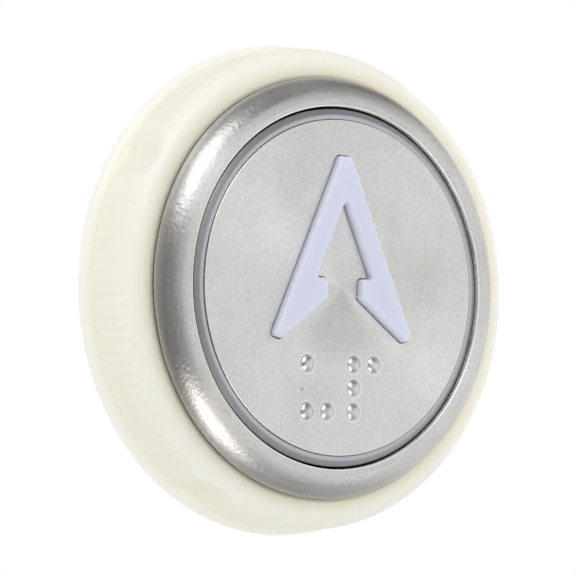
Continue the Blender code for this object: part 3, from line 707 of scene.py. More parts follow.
@dataclass(frozen=True)
class Moulding:
    """Moulded plastic or rubber: mottled colour, fine skin, rubbed edges, painted shade where
    neighbours close it in, and a painted glow there.
    """

    name: str
    base: Colour
    second: Colour
    rubbed: Colour
    roughness: float = 0.45
    mottle_scale: float = 90.0
    skin_scale: float = 4200.0
    skin_depth: float = 0.15
    flow_depth: float = 0.10
    rub_amount: float = 0.5
    scatter: float = 0.0
    scatter_radius: float = 0.002
    scatter_tint: Colour = (1.0, 0.95, 0.9)
    # Painted shade and glow: the colour darkens and warms where neighbours close a surface in, out to
    # a given radius, and a painted glow is added there. Neither is the plastic's own colour.
    painted_recess_shade: Colour = (1.0, 0.97, 0.92)
    painted_shade_reach: float = 0.003
    recess_painted_glow: float = 0.0
    recess_r: float = 1.0
    # Where the painted glow starts, and its colour. The glow stands in for light coming through the
    # nylon.
    painted_glow_from_r: float = 0.0
    painted_glow_tint: Colour = (1.0, 0.78, 0.32)

    def material(self) -> bpy.types.Material:
        """Write the finish out as a material.

        Returns:
            The material, with its nodes grouped by effect.
        """
        made = bpy.data.materials.new(self.name)
        made.use_nodes = True
        tree = made.node_tree
        nodes, links = tree.nodes, tree.links
        nodes.clear()

        body = nodes.new("NodeFrame")
        body.label = "Colour through the moulding"
        position = nodes.new("ShaderNodeTexCoord")
        position.label = "Position on the button"
        position.parent = body
        mottle = nodes.new("ShaderNodeTexNoise")
        mottle.label = "Clouds in the plastic"
        mottle.inputs["Scale"].default_value = self.mottle_scale
        mottle.inputs["Detail"].default_value = 4.0
        mottle.inputs["Distortion"].default_value = 0.6
        mottle.parent = body
        mottle_range = nodes.new("ShaderNodeMapRange")
        mottle_range.label = "Contrast of the clouds"
        mottle_range.inputs["From Min"].default_value = 0.3
        mottle_range.inputs["From Max"].default_value = 0.7
        mottle_range.parent = body
        blend = nodes.new("ShaderNodeMix")
        blend.label = "Two shades of the plastic"
        blend.data_type = "RGBA"
        blend.inputs["A"].default_value = (*self.base, 1.0)
        blend.inputs["B"].default_value = (*self.second, 1.0)
        blend.parent = body
        links.new(position.outputs["Object"], mottle.inputs["Vector"])
        links.new(mottle.outputs["Fac"], mottle_range.inputs["Value"])
        links.new(mottle_range.outputs["Result"], blend.inputs["Factor"])

        wear = nodes.new("NodeFrame")
        wear.label = "Rubbed edges"
        shape = nodes.new("ShaderNodeNewGeometry")
        shape.label = "How sharp the edge is"
        shape.parent = wear
        edge = nodes.new("ShaderNodeMapRange")
        edge.label = "Only outer edges"
        edge.inputs["From Min"].default_value = 0.52
        edge.inputs["From Max"].default_value = 0.62
        edge.parent = wear
        scuff = nodes.new("ShaderNodeTexNoise")
        scuff.label = "Broken up by scuffs"
        scuff.inputs["Scale"].default_value = 900.0
        scuff.inputs["Detail"].default_value = 3.0
        scuff.parent = wear
        edge_wear_and_highlight = nodes.new("ShaderNodeMath")
        edge_wear_and_highlight.label = "Scuffed edges"
        edge_wear_and_highlight.operation = "MULTIPLY"
        edge_wear_and_highlight.parent = wear
        amount = nodes.new("ShaderNodeMath")
        amount.label = "How worn"
        amount.operation = "MULTIPLY"
        amount.inputs[1].default_value = self.rub_amount
        amount.parent = wear
        rubbed = nodes.new("ShaderNodeMix")
        rubbed.label = "Rubbed colour"
        rubbed.data_type = "RGBA"
        rubbed.inputs["B"].default_value = (*self.rubbed, 1.0)
        rubbed.parent = wear
        links.new(shape.outputs["Pointiness"], edge.inputs["Value"])
        links.new(position.outputs["Object"], scuff.inputs["Vector"])
        links.new(edge.outputs["Result"], edge_wear_and_highlight.inputs[0])
        links.new(scuff.outputs["Fac"], edge_wear_and_highlight.inputs[1])
        links.new(edge_wear_and_highlight.outputs["Value"], amount.inputs[0])
        links.new(amount.outputs["Value"], rubbed.inputs["Factor"])
        links.new(blend.outputs["Result"], rubbed.inputs["A"])

        # Painted shade: ambient occlusion darkens and warms the colour where neighbours close the
        # surface in, most of all next to the bezel. This stands in for shade, not for a deeper colour
        # of the plastic.
        depth = nodes.new("NodeFrame")
        depth.label = "Deeper colour in recesses"
        openness = nodes.new("ShaderNodeAmbientOcclusion")
        openness.label = "How open the surface is"
        openness.samples = 6
        openness.inputs["Distance"].default_value = self.painted_shade_reach
        openness.parent = depth
        painted_shade_closeness = nodes.new("ShaderNodeMapRange")
        painted_shade_closeness.label = "Closed in by neighbours"
        painted_shade_closeness.inputs["From Min"].default_value = 0.90
        painted_shade_closeness.inputs["From Max"].default_value = 0.45
        painted_shade_closeness.parent = depth
        painted_shade_colour = nodes.new("ShaderNodeMix")
        painted_shade_colour.label = "Deeper tone"
        painted_shade_colour.data_type = "RGBA"
        painted_shade_colour.blend_type = "MULTIPLY"
        painted_shade_colour.inputs["B"].default_value = (*self.painted_recess_shade, 1.0)
        painted_shade_colour.parent = depth
        links.new(openness.outputs["AO"], painted_shade_closeness.inputs["Value"])
        flattened = nodes.new("ShaderNodeVectorMath")
        flattened.label = "Drop the depth"
        flattened.operation = "MULTIPLY"
        flattened.inputs[1].default_value = (1.0, 0.0, 1.0)
        flattened.parent = depth
        distance = nodes.new("ShaderNodeVectorMath")
        distance.label = "Distance from the axis"
        distance.operation = "LENGTH"
        distance.parent = depth
        reach = nodes.new("ShaderNodeMapRange")
        reach.label = "Only this far out"
        reach.interpolation_type = "SMOOTHSTEP"
        reach.inputs["From Min"].default_value = self.recess_r
        reach.inputs["From Max"].default_value = self.recess_r * 0.92
        reach.inputs["To Min"].default_value = 0.15
        reach.parent = depth
        painted_shade_amount = nodes.new("ShaderNodeMath")
        painted_shade_amount.label = "Depth of the recess"
        painted_shade_amount.operation = "MULTIPLY"
        painted_shade_amount.parent = depth
        links.new(position.outputs["Object"], flattened.inputs[0])
        links.new(flattened.outputs["Vector"], distance.inputs[0])
        links.new(distance.outputs["Value"], reach.inputs["Value"])
        links.new(painted_shade_closeness.outputs["Result"], painted_shade_amount.inputs[0])
        links.new(reach.outputs["Result"], painted_shade_amount.inputs[1])
        links.new(painted_shade_amount.outputs["Value"], painted_shade_colour.inputs["Factor"])
        # Painted glow: emission where the painted shade is, beyond a given radius, standing in for
        # light that comes through the nylon. The plastic is no lamp.
        painted_glow = nodes.new("ShaderNodeMath")
        painted_glow.label = "Light soaking through the plastic"
        painted_glow.operation = "MULTIPLY"
        painted_glow.parent = depth
        painted_glow_onset = nodes.new("ShaderNodeMapRange")
        painted_glow_onset.label = "Not inside the bore"
        painted_glow_onset.inputs["From Min"].default_value = self.painted_glow_from_r
        painted_glow_onset.inputs["From Max"].default_value = self.painted_glow_from_r + 0.15 * MM
        painted_glow_onset.inputs["To Max"].default_value = self.recess_painted_glow
        painted_glow_onset.parent = depth
        links.new(distance.outputs["Value"], painted_glow_onset.inputs["Value"])
        links.new(painted_shade_amount.outputs["Value"], painted_glow.inputs[0])
        links.new(painted_glow_onset.outputs["Result"], painted_glow.inputs[1])
        links.new(rubbed.outputs["Result"], painted_shade_colour.inputs["A"])

        skin = nodes.new("NodeFrame")
        skin.label = "Skin of the mould"
        grain = nodes.new("ShaderNodeTexNoise")
        grain.label = "Fine mould grain"
        grain.inputs["Scale"].default_value = self.skin_scale
        grain.inputs["Detail"].default_value = 2.0
        grain.parent = skin
        gloss = nodes.new("ShaderNodeMapRange")
        gloss.label = "Gloss varies with the grain"
        gloss.inputs["To Min"].default_value = self.roughness * 0.8
        gloss.inputs["To Max"].default_value = self.roughness * 1.2
        gloss.parent = skin
        flow = nodes.new("ShaderNodeBump")
        flow.label = "Soft flow of the plastic"
        flow.inputs["Strength"].default_value = self.flow_depth
        flow.inputs["Distance"].default_value = 0.0002
        flow.parent = skin
        relief = nodes.new("ShaderNodeBump")
        relief.label = "Grain relief"
        relief.inputs["Strength"].default_value = self.skin_depth
        relief.inputs["Distance"].default_value = 0.00003
        relief.parent = skin
        links.new(position.outputs["Object"], grain.inputs["Vector"])
        links.new(grain.outputs["Fac"], gloss.inputs["Value"])
        links.new(mottle.outputs["Fac"], flow.inputs["Height"])
        links.new(grain.outputs["Fac"], relief.inputs["Height"])
        links.new(flow.outputs["Normal"], relief.inputs["Normal"])

        shader = nodes.new("ShaderNodeBsdfPrincipled")
        shader.label = "Plastic"
        shader.inputs["Subsurface Weight"].default_value = self.scatter
        shader.inputs["Subsurface Scale"].default_value = self.scatter_radius
        shader.inputs["Subsurface Radius"].default_value = self.scatter_tint
        shader.inputs["Emission Color"].default_value = (*self.painted_glow_tint, 1.0)
        output = nodes.new("ShaderNodeOutputMaterial")
        output.label = "Surface"
        links.new(painted_shade_colour.outputs["Result"], shader.inputs["Base Color"])
        links.new(painted_glow.outputs["Value"], shader.inputs["Emission Strength"])
        links.new(gloss.outputs["Result"], shader.inputs["Roughness"])
        links.new(relief.outputs["Normal"], shader.inputs["Normal"])
        links.new(shader.outputs["BSDF"], output.inputs["Surface"])
        lay_out(tree)
        return made


@dataclass(frozen=True)
class HaloTint:
    """Translucent grey lens with a lilac line along its ridge."""

    name: str
    outer: Colour
    ridge: Colour
    inner: Colour
    ridge_r: float
    ridge_width: float
    mirror: float = 0.55

    def material(self) -> bpy.types.Material:
        """Write the finish out as a material.

        Returns:
            The material, with its nodes grouped by effect.
        """
        made = bpy.data.materials.new(self.name)
        made.use_nodes = True
        tree = made.node_tree
        nodes, links = tree.nodes, tree.links
        nodes.clear()

        rings = nodes.new("NodeFrame")
        rings.label = "Tint across the ring"
        position = nodes.new("ShaderNodeTexCoord")
        position.label = "Position on the button"
        position.parent = rings
        flattened = nodes.new("ShaderNodeVectorMath")
        flattened.label = "Drop the depth"
        flattened.operation = "MULTIPLY"
        flattened.inputs[1].default_value = (1.0, 0.0, 1.0)
        flattened.parent = rings
        radius = nodes.new("ShaderNodeVectorMath")
        radius.label = "Distance from the axis"
        radius.operation = "LENGTH"
        radius.parent = rings
        across = nodes.new("ShaderNodeMapRange")
        across.label = "Inner wall to outer wall"
        across.inputs["From Min"].default_value = self.ridge_r - self.ridge_width
        across.inputs["From Max"].default_value = self.ridge_r + self.ridge_width
        across.parent = rings
        # Painted shade: the ring is darker towards its outer wall, standing in for the shade the
        # bezel wall casts on it.
        tint = nodes.new("ShaderNodeValToRGB")
        tint.label = "Pale, lilac ridge, dark"
        tint.color_ramp.interpolation = "EASE"
        tint.color_ramp.elements[0].position = 0.18
        tint.color_ramp.elements[0].color = (*self.inner, 1.0)
        tint.color_ramp.elements[1].position = 0.80
        tint.color_ramp.elements[1].color = (*self.outer, 1.0)
        middle = tint.color_ramp.elements.new(0.5)
        middle.color = (*self.ridge, 1.0)
        tint.parent = rings
        links.new(position.outputs["Object"], flattened.inputs[0])
        links.new(flattened.outputs["Vector"], radius.inputs[0])
        links.new(radius.outputs["Value"], across.inputs["Value"])
        links.new(across.outputs["Result"], tint.inputs["Fac"])

        haze = nodes.new("NodeFrame")
        haze.label = "Haze in the lens"
        cloud = nodes.new("ShaderNodeTexNoise")
        cloud.label = "Uneven haze"
        cloud.inputs["Scale"].default_value = 160.0
        cloud.inputs["Detail"].default_value = 4.0
        cloud.parent = haze
        cloud_range = nodes.new("ShaderNodeMapRange")
        cloud_range.label = "Faint"
        cloud_range.inputs["To Min"].default_value = 0.0
        cloud_range.inputs["To Max"].default_value = 0.35
        cloud_range.parent = haze
        hazed = nodes.new("ShaderNodeMix")
        hazed.label = "Haze over the tint"
        hazed.data_type = "RGBA"
        hazed.inputs["B"].default_value = (0.50, 0.50, 0.53, 1.0)
        hazed.parent = haze
        links.new(position.outputs["Object"], cloud.inputs["Vector"])
        links.new(cloud.outputs["Fac"], cloud_range.inputs["Value"])
        links.new(cloud_range.outputs["Result"], hazed.inputs["Factor"])
        links.new(tint.outputs["Color"], hazed.inputs["A"])

        skin = nodes.new("NodeFrame")
        skin.label = "Moulded skin"
        grain = nodes.new("ShaderNodeTexNoise")
        grain.label = "Fine marks"
        grain.inputs["Scale"].default_value = 2600.0
        grain.parent = skin
        gloss = nodes.new("ShaderNodeMapRange")
        gloss.label = "Gloss varies"
        gloss.inputs["To Min"].default_value = 0.20
        gloss.inputs["To Max"].default_value = 0.38
        gloss.parent = skin
        relief = nodes.new("ShaderNodeBump")
        relief.label = "Faint relief"
        relief.inputs["Strength"].default_value = 0.08
        relief.inputs["Distance"].default_value = 0.00002
        relief.parent = skin
        links.new(position.outputs["Object"], grain.inputs["Vector"])
        links.new(grain.outputs["Fac"], gloss.inputs["Value"])
        links.new(grain.outputs["Fac"], relief.inputs["Height"])

        shader = nodes.new("ShaderNodeBsdfPrincipled")
        shader.label = "Translucent plastic"
        shader.inputs["Metallic"].default_value = self.mirror
        shader.inputs["Subsurface Weight"].default_value = 0.3
        shader.inputs["Subsurface Scale"].default_value = 0.0006
        shader.inputs["Subsurface Radius"].default_value = (0.9, 0.9, 1.0)
        output = nodes.new("ShaderNodeOutputMaterial")
        output.label = "Surface"
        links.new(hazed.outputs["Result"], shader.inputs["Base Color"])
        links.new(gloss.outputs["Result"], shader.inputs["Roughness"])
        links.new(relief.outputs["Normal"], shader.inputs["Normal"])
        links.new(shader.outputs["BSDF"], output.inputs["Surface"])
        lay_out(tree)
        return made


@dataclass(frozen=True)
class BoardMask:
    """Solder mask over copper tracks."""

    name: str
    mask: Colour
    track: Colour

    def material(self) -> bpy.types.Material:
        """Write the finish out as a material.

        Returns:
            The material, with its nodes grouped by effect.
        """
        made = bpy.data.materials.new(self.name)
        made.use_nodes = True
        tree = made.node_tree
        nodes, links = tree.nodes, tree.links
        nodes.clear()

        copper = nodes.new("NodeFrame")
        copper.label = "Copper tracks"
        position = nodes.new("ShaderNodeTexCoord")
        position.label = "Position on the button"
        position.parent = copper
        turned = nodes.new("ShaderNodeMapping")
        turned.label = "Board seen from behind"
        turned.inputs["Rotation"].default_value = (pi / 2, 0.0, 0.0)
        turned.parent = copper
        tracks = nodes.new("ShaderNodeTexBrick")
        tracks.label = "Routed tracks"
        tracks.offset = 0.37
        tracks.inputs["Scale"].default_value = 260.0
        tracks.inputs["Mortar Size"].default_value = 0.035
        tracks.inputs["Color1"].default_value = (0.0, 0.0, 0.0, 1.0)
        tracks.inputs["Color2"].default_value = (0.0, 0.0, 0.0, 1.0)
        tracks.inputs["Mortar"].default_value = (1.0, 1.0, 1.0, 1.0)
        tracks.parent = copper
        colour = nodes.new("ShaderNodeMix")
        colour.label = "Tracks show through the mask"
        colour.data_type = "RGBA"
        colour.inputs["A"].default_value = (*self.mask, 1.0)
        colour.inputs["B"].default_value = (*self.track, 1.0)
        colour.parent = copper
        links.new(position.outputs["Object"], turned.inputs["Vector"])
        links.new(turned.outputs["Vector"], tracks.inputs["Vector"])
        links.new(tracks.outputs["Color"], colour.inputs["Factor"])

        coat = nodes.new("NodeFrame")
        coat.label = "Mask surface"
        orange = nodes.new("ShaderNodeTexNoise")
        orange.label = "Orange peel of the mask"
        orange.inputs["Scale"].default_value = 1500.0
        orange.parent = coat
        gloss = nodes.new("ShaderNodeMapRange")
        gloss.label = "Gloss varies"
        gloss.inputs["To Min"].default_value = 0.28
        gloss.inputs["To Max"].default_value = 0.5
        gloss.parent = coat
        relief = nodes.new("ShaderNodeBump")
        relief.label = "Tracks stand up"
        relief.inputs["Strength"].default_value = 0.4
        relief.inputs["Distance"].default_value = 0.00004
        relief.parent = coat
        peel = nodes.new("ShaderNodeBump")
        peel.label = "Peel relief"
        peel.inputs["Strength"].default_value = 0.15
        peel.inputs["Distance"].default_value = 0.00002
        peel.parent = coat
        links.new(position.outputs["Object"], orange.inputs["Vector"])
        links.new(orange.outputs["Fac"], gloss.inputs["Value"])
        links.new(tracks.outputs["Color"], relief.inputs["Height"])
        links.new(orange.outputs["Fac"], peel.inputs["Height"])
        links.new(relief.outputs["Normal"], peel.inputs["Normal"])

        shader = nodes.new("ShaderNodeBsdfPrincipled")
        shader.label = "Solder mask"
        output = nodes.new("ShaderNodeOutputMaterial")
        output.label = "Surface"
        links.new(colour.outputs["Result"], shader.inputs["Base Color"])
        links.new(gloss.outputs["Result"], shader.inputs["Roughness"])
        links.new(peel.outputs["Normal"], shader.inputs["Normal"])
        links.new(shader.outputs["BSDF"], output.inputs["Surface"])
        lay_out(tree)
        return made


# ------------------------------------------------------------------ the button's pieces

@dataclass
class Bezel:
    """Turned stainless ring around the pressel."""

    outer_r: float = field(default_factory=lambda: outer_radius("bezel") - 0.12 * MM)
    front: float = field(default_factory=lambda: height_span("bezel")[1])
    rim: float = 0.35 * MM
    crest_r: float = 19.2 * MM
    bore_r: float = 18.75 * MM
    rim_highlight_r: float = 19.02 * MM
    lip_rear: float = 1.75 * MM
    recess_r: float = 21.2 * MM
    flange_recess_r: float = 20.5 * MM
    flange_floor: float = 0.8 * MM
    steps: int = 224

    def section(self) -> list[Vector]:
        """Corner points of the turned section, crest first."""
        run = self.outer_r - self.crest_r
        drop = self.front - self.rim
        bow = (run ** 2 + drop ** 2) / (2 * drop)
        sweep = asin(run / bow)
        count = 20
        slope = [(self.crest_r + bow * sin(sweep * index / count),
                  self.front - bow * (1 - cos(sweep * index / count)), 0.0)
                 for index in range(1, count)]
        corners = [(self.bore_r, self.front, 0.12 * MM), (self.crest_r, self.front, 0.0), *slope,
                   (self.outer_r, self.rim, 0.08 * MM), (self.outer_r, 0.0, 0.05 * MM),
                   (self.recess_r, 0.0, 0.03 * MM), (self.recess_r, self.flange_floor, 0.0),
                   (self.flange_recess_r, self.flange_floor, 0.03 * MM),
                   (self.flange_recess_r, self.lip_rear, 0.0),
                   (self.bore_r, self.lip_rear, 0.05 * MM)]
        return rounded(corners, closed=True)

    def build(self, steel: bpy.types.Material, bore_steel: bpy.types.Material,
              rim_highlight_steel: bpy.types.Material) -> None:
        """Build and dress the ring.

        Args:
            steel: finish of the visible front.
            bore_steel: rougher finish inside the bore.
            rim_highlight_steel: near-white steel on the bore's front edge, partly a burnished line
                and partly a painted highlight.
        """
        bm = spun(self.section(), self.steps, closed=True)
        wall = self.bore_r + 0.02 * MM
        for face in bm.faces:
            middle = face.calc_center_median()
            if hypot(middle.x, middle.y) < wall and middle.z < self.front - 0.1 * MM:
                face.material_index = 1
            # Faces at the bore's front edge take near-white steel: partly burnished, partly a painted
            # highlight.
            elif hypot(middle.x, middle.y) < self.rim_highlight_r and middle.z > self.front - 0.13 * MM:
                face.material_index = 2
        piece = finish_piece(bm, "bezel_ring", Body.HOUSING, steel, ["bezel"])
        piece.data.materials.append(bore_steel)
        piece.data.materials.append(rim_highlight_steel)


@dataclass
class ArrowShape:
    """Outline of the direction arrow, shared by the lens and its aperture."""

    half: tuple[Corner, ...] = ((0.75, 13.6, 0.45), (9.15, -5.15, 0.45), (7.95, -5.5, 0.5),
                                (2.05, -1.15, 0.35), (2.15, 0.95, 0.4), (3.6, 0.95, 0.25))
    inner_apex: Corner = (0.0, 8.95, 0.25)

    def corners(self, outset: float = 0.0) -> list[Corner]:
        """Corners of the whole arrow in metres, clockwise.

        Args:
            outset: how far each side moves outwards.

        Returns:
            Points (x, y, corner radius).
        """
        left = [(-x, y, radius) for x, y, radius in reversed(self.half)]
        corners = in_mm([*self.half, self.inner_apex, *left])
        moved: list[Corner] = []
        for index, (x, y, radius) in enumerate(corners):
            here = Vector((x, y))
            first = (here - Vector(corners[index - 1][:2])).normalized()
            second = (Vector(corners[(index + 1) % len(corners)][:2]) - here).normalized()
            normals = Vector((-first.y, first.x)), Vector((-second.y, second.x))
            shift = (normals[0] + normals[1]) / (1 + normals[0].dot(normals[1]))
            spot = here + shift * outset
            grows = outset if first.cross(second) < 0 else -outset
            moved.append((spot.x, spot.y, max(radius + grows, 0.02 * MM)))
        return moved


@dataclass
class ArrowLens:
    """Opal arrow that stands through the plate, on its flange."""

    shape: ArrowShape
    flange_r: float = 15.0 * MM
    flange_floor: float = 1.0 * MM
    flange_top: float = 1.5 * MM
    top: float = field(default_factory=lambda: height_span("arrow_lens")[1])
    wall_top: float = 2.62 * MM
    shoulder: float = 0.44 * MM
    shoulder_steps: int = 7

    def arrow(self) -> bmesh.types.BMesh:
        """The raised arrow with its softly rounded front."""
        levels = [(0.0, self.flange_top - 0.2 * MM), (0.0, self.wall_top)]
        for step in range(1, self.shoulder_steps + 1):
            turn = pi / 2 * step / self.shoulder_steps
            levels.append((self.shoulder * (1 - cos(turn)),
                           self.wall_top + (self.top - self.wall_top) * sin(turn)))
        bm = bmesh.new()
        loops: list[list[bmesh.types.BMEdge]] = []
        for inset, height in levels:
            outline = rounded(self.shape.corners(-inset), closed=True, steps=7)
            verts = [bm.verts.new((point.x, point.y, height)) for point in outline]
            loops.append([bm.edges.new(pair) for pair in zip(verts, verts[1:] + verts[:1])])
        for lower, upper in zip(loops, loops[1:]):
            bmesh.ops.bridge_loops(bm, edges=lower + upper)
        for loop in (loops[0], loops[-1]):
            bmesh.ops.contextual_create(bm, geom=loop)
        bmesh.ops.recalc_face_normals(bm, faces=bm.faces)
        return bm

    def build(self, opal: bpy.types.Material) -> None:
        """Build and dress the lens."""
        bm = self.arrow()
        flange = rounded([(0.0, self.flange_top, 0.0), (self.flange_r, self.flange_top, 0.1 * MM),
                          (self.flange_r, self.flange_floor, 0.1 * MM),
                          (0.0, self.flange_floor, 0.0)], closed=False)
        add(bm, spun(flange, 96, closed=False))
        finish_piece(bm, "arrow_lens_moulding", Body.PRESSEL, opal, ["arrow_lens"],
                     crease=50.0)


@dataclass
class FacePlate:
    """Stainless pressel plate with the arrow's aperture and Braille."""

    shape: ArrowShape
    radius: float = 17.35 * MM
    top: float = 2.4 * MM
    bottom: float = 1.8 * MM
    rim: float = 0.06 * MM
    clearance: float = 0.10 * MM
    dot_r: float = 0.86 * MM
    dot_height: float = 0.42 * MM
    dot_fillet: float = 0.16 * MM
    dot_pitch: tuple[float, float] = (2.62 * MM, 2.44 * MM)
    cell_pitch: float = 6.05 * MM
    first_cell: tuple[float, float] = (-3.02 * MM, -10.38 * MM)
    letters: tuple[tuple[tuple[int, int], ...], ...] = (
        ((0, 0), (0, 2), (1, 2)), ((0, 0), (1, 0), (0, 1), (0, 2)))

    def disc(self) -> bmesh.types.BMesh:
        """The plate with its aperture, whose front edge is rolled."""
        rim = rounded([(self.radius - MM, self.top, 0.0), (self.radius, self.top, self.rim),
                       (self.radius, self.bottom, 0.08 * MM),
                       (self.radius - MM, self.bottom, 0.0)], closed=False, steps=6)
        blank = spun(rim, 192, closed=False)
        open_edges = [edge for edge in blank.edges if edge.is_boundary]
        bmesh.ops.holes_fill(blank, edges=open_edges, sides=0)
        bmesh.ops.recalc_face_normals(blank, faces=blank.faces)
        outline = rounded(self.shape.corners(self.clearance), closed=True, steps=7)
        bm = cut(blank, slab(outline, self.bottom - MM, self.top + MM))
        reach = self.radius - 1.2 * MM
        lip = [edge for edge in sharp_edges(bm, 1.0)
               if all(vert.co.z > self.top - 0.01 * MM and vert.co.xy.length < reach
                      for vert in edge.verts)]
        soften(bm, lip, 0.08 * MM, 3)
        return bm

    def dot(self) -> bmesh.types.BMesh:
        """One Braille dome with a small fillet at its foot."""
        ball = (self.dot_r ** 2 + self.dot_height ** 2) / (2 * self.dot_height)
        reach = atan2(self.dot_r, ball - self.dot_height)
        dome = [Vector((ball * sin(reach * step / 12),
                        self.dot_height - ball * (1 - cos(reach * step / 12))))
                for step in range(12)]
        foot = [Vector((self.dot_r + self.dot_fillet * share,
                        self.dot_height * 0.12 * (1 - share) ** 2 + 0.004 * MM))
                for share in (0.0, 0.3, 0.6, 1.0)]
        root = [Vector((self.dot_r + self.dot_fillet, -0.2 * MM)), Vector((0.0, -0.2 * MM))]
        return spun([*dome, *foot, *root], 40, closed=False)

    def build(self, steel: bpy.types.Material) -> None:
        """Build and dress the plate."""
        bm = self.disc()
        for cell, letter in enumerate(self.letters):
            for column, row in letter:
                x = self.first_cell[0] + cell * self.cell_pitch + (column - 0.5) * self.dot_pitch[0]
                y = self.first_cell[1] + (1 - row) * self.dot_pitch[1]
                add(bm, self.dot(), Matrix.Translation((x, y, self.top)))
        finish_piece(bm, "pressel_plate", Body.PRESSEL, steel, ["face_plate"],
                     crease=35.0)


@dataclass
class HaloLens:
    """Lit ring between plate and bezel, with a rounded ridge."""

    inner_r: float = 17.40 * MM
    ridge_r: float = 17.80 * MM
    outer_r: float = 18.48 * MM
    web_r: float = 15.3 * MM
    web_top: float = 1.5 * MM
    web_floor: float = 1.0 * MM
    inner_top: float = 2.27 * MM
    ridge_top: float = 2.34 * MM
    shoulder: float = 2.04 * MM

    def build(self, tint: bpy.types.Material) -> None:
        """Build and dress the ring."""
        corners = [(self.inner_r, self.web_top, 0.0), (self.inner_r, self.inner_top, 0.06 * MM),
                   (self.ridge_r, self.ridge_top, 0.5 * MM),
                   (self.outer_r, self.shoulder, 0.10 * MM),
                   (self.outer_r, self.web_floor, 0.1 * MM),
                   (self.web_r, self.web_floor, 0.1 * MM), (self.web_r, self.web_top, 0.1 * MM)]
        finish_piece(spun(rounded(corners, closed=True), 192, closed=True), "halo_ring",
                     Body.PRESSEL, tint, ["halo_lens"])


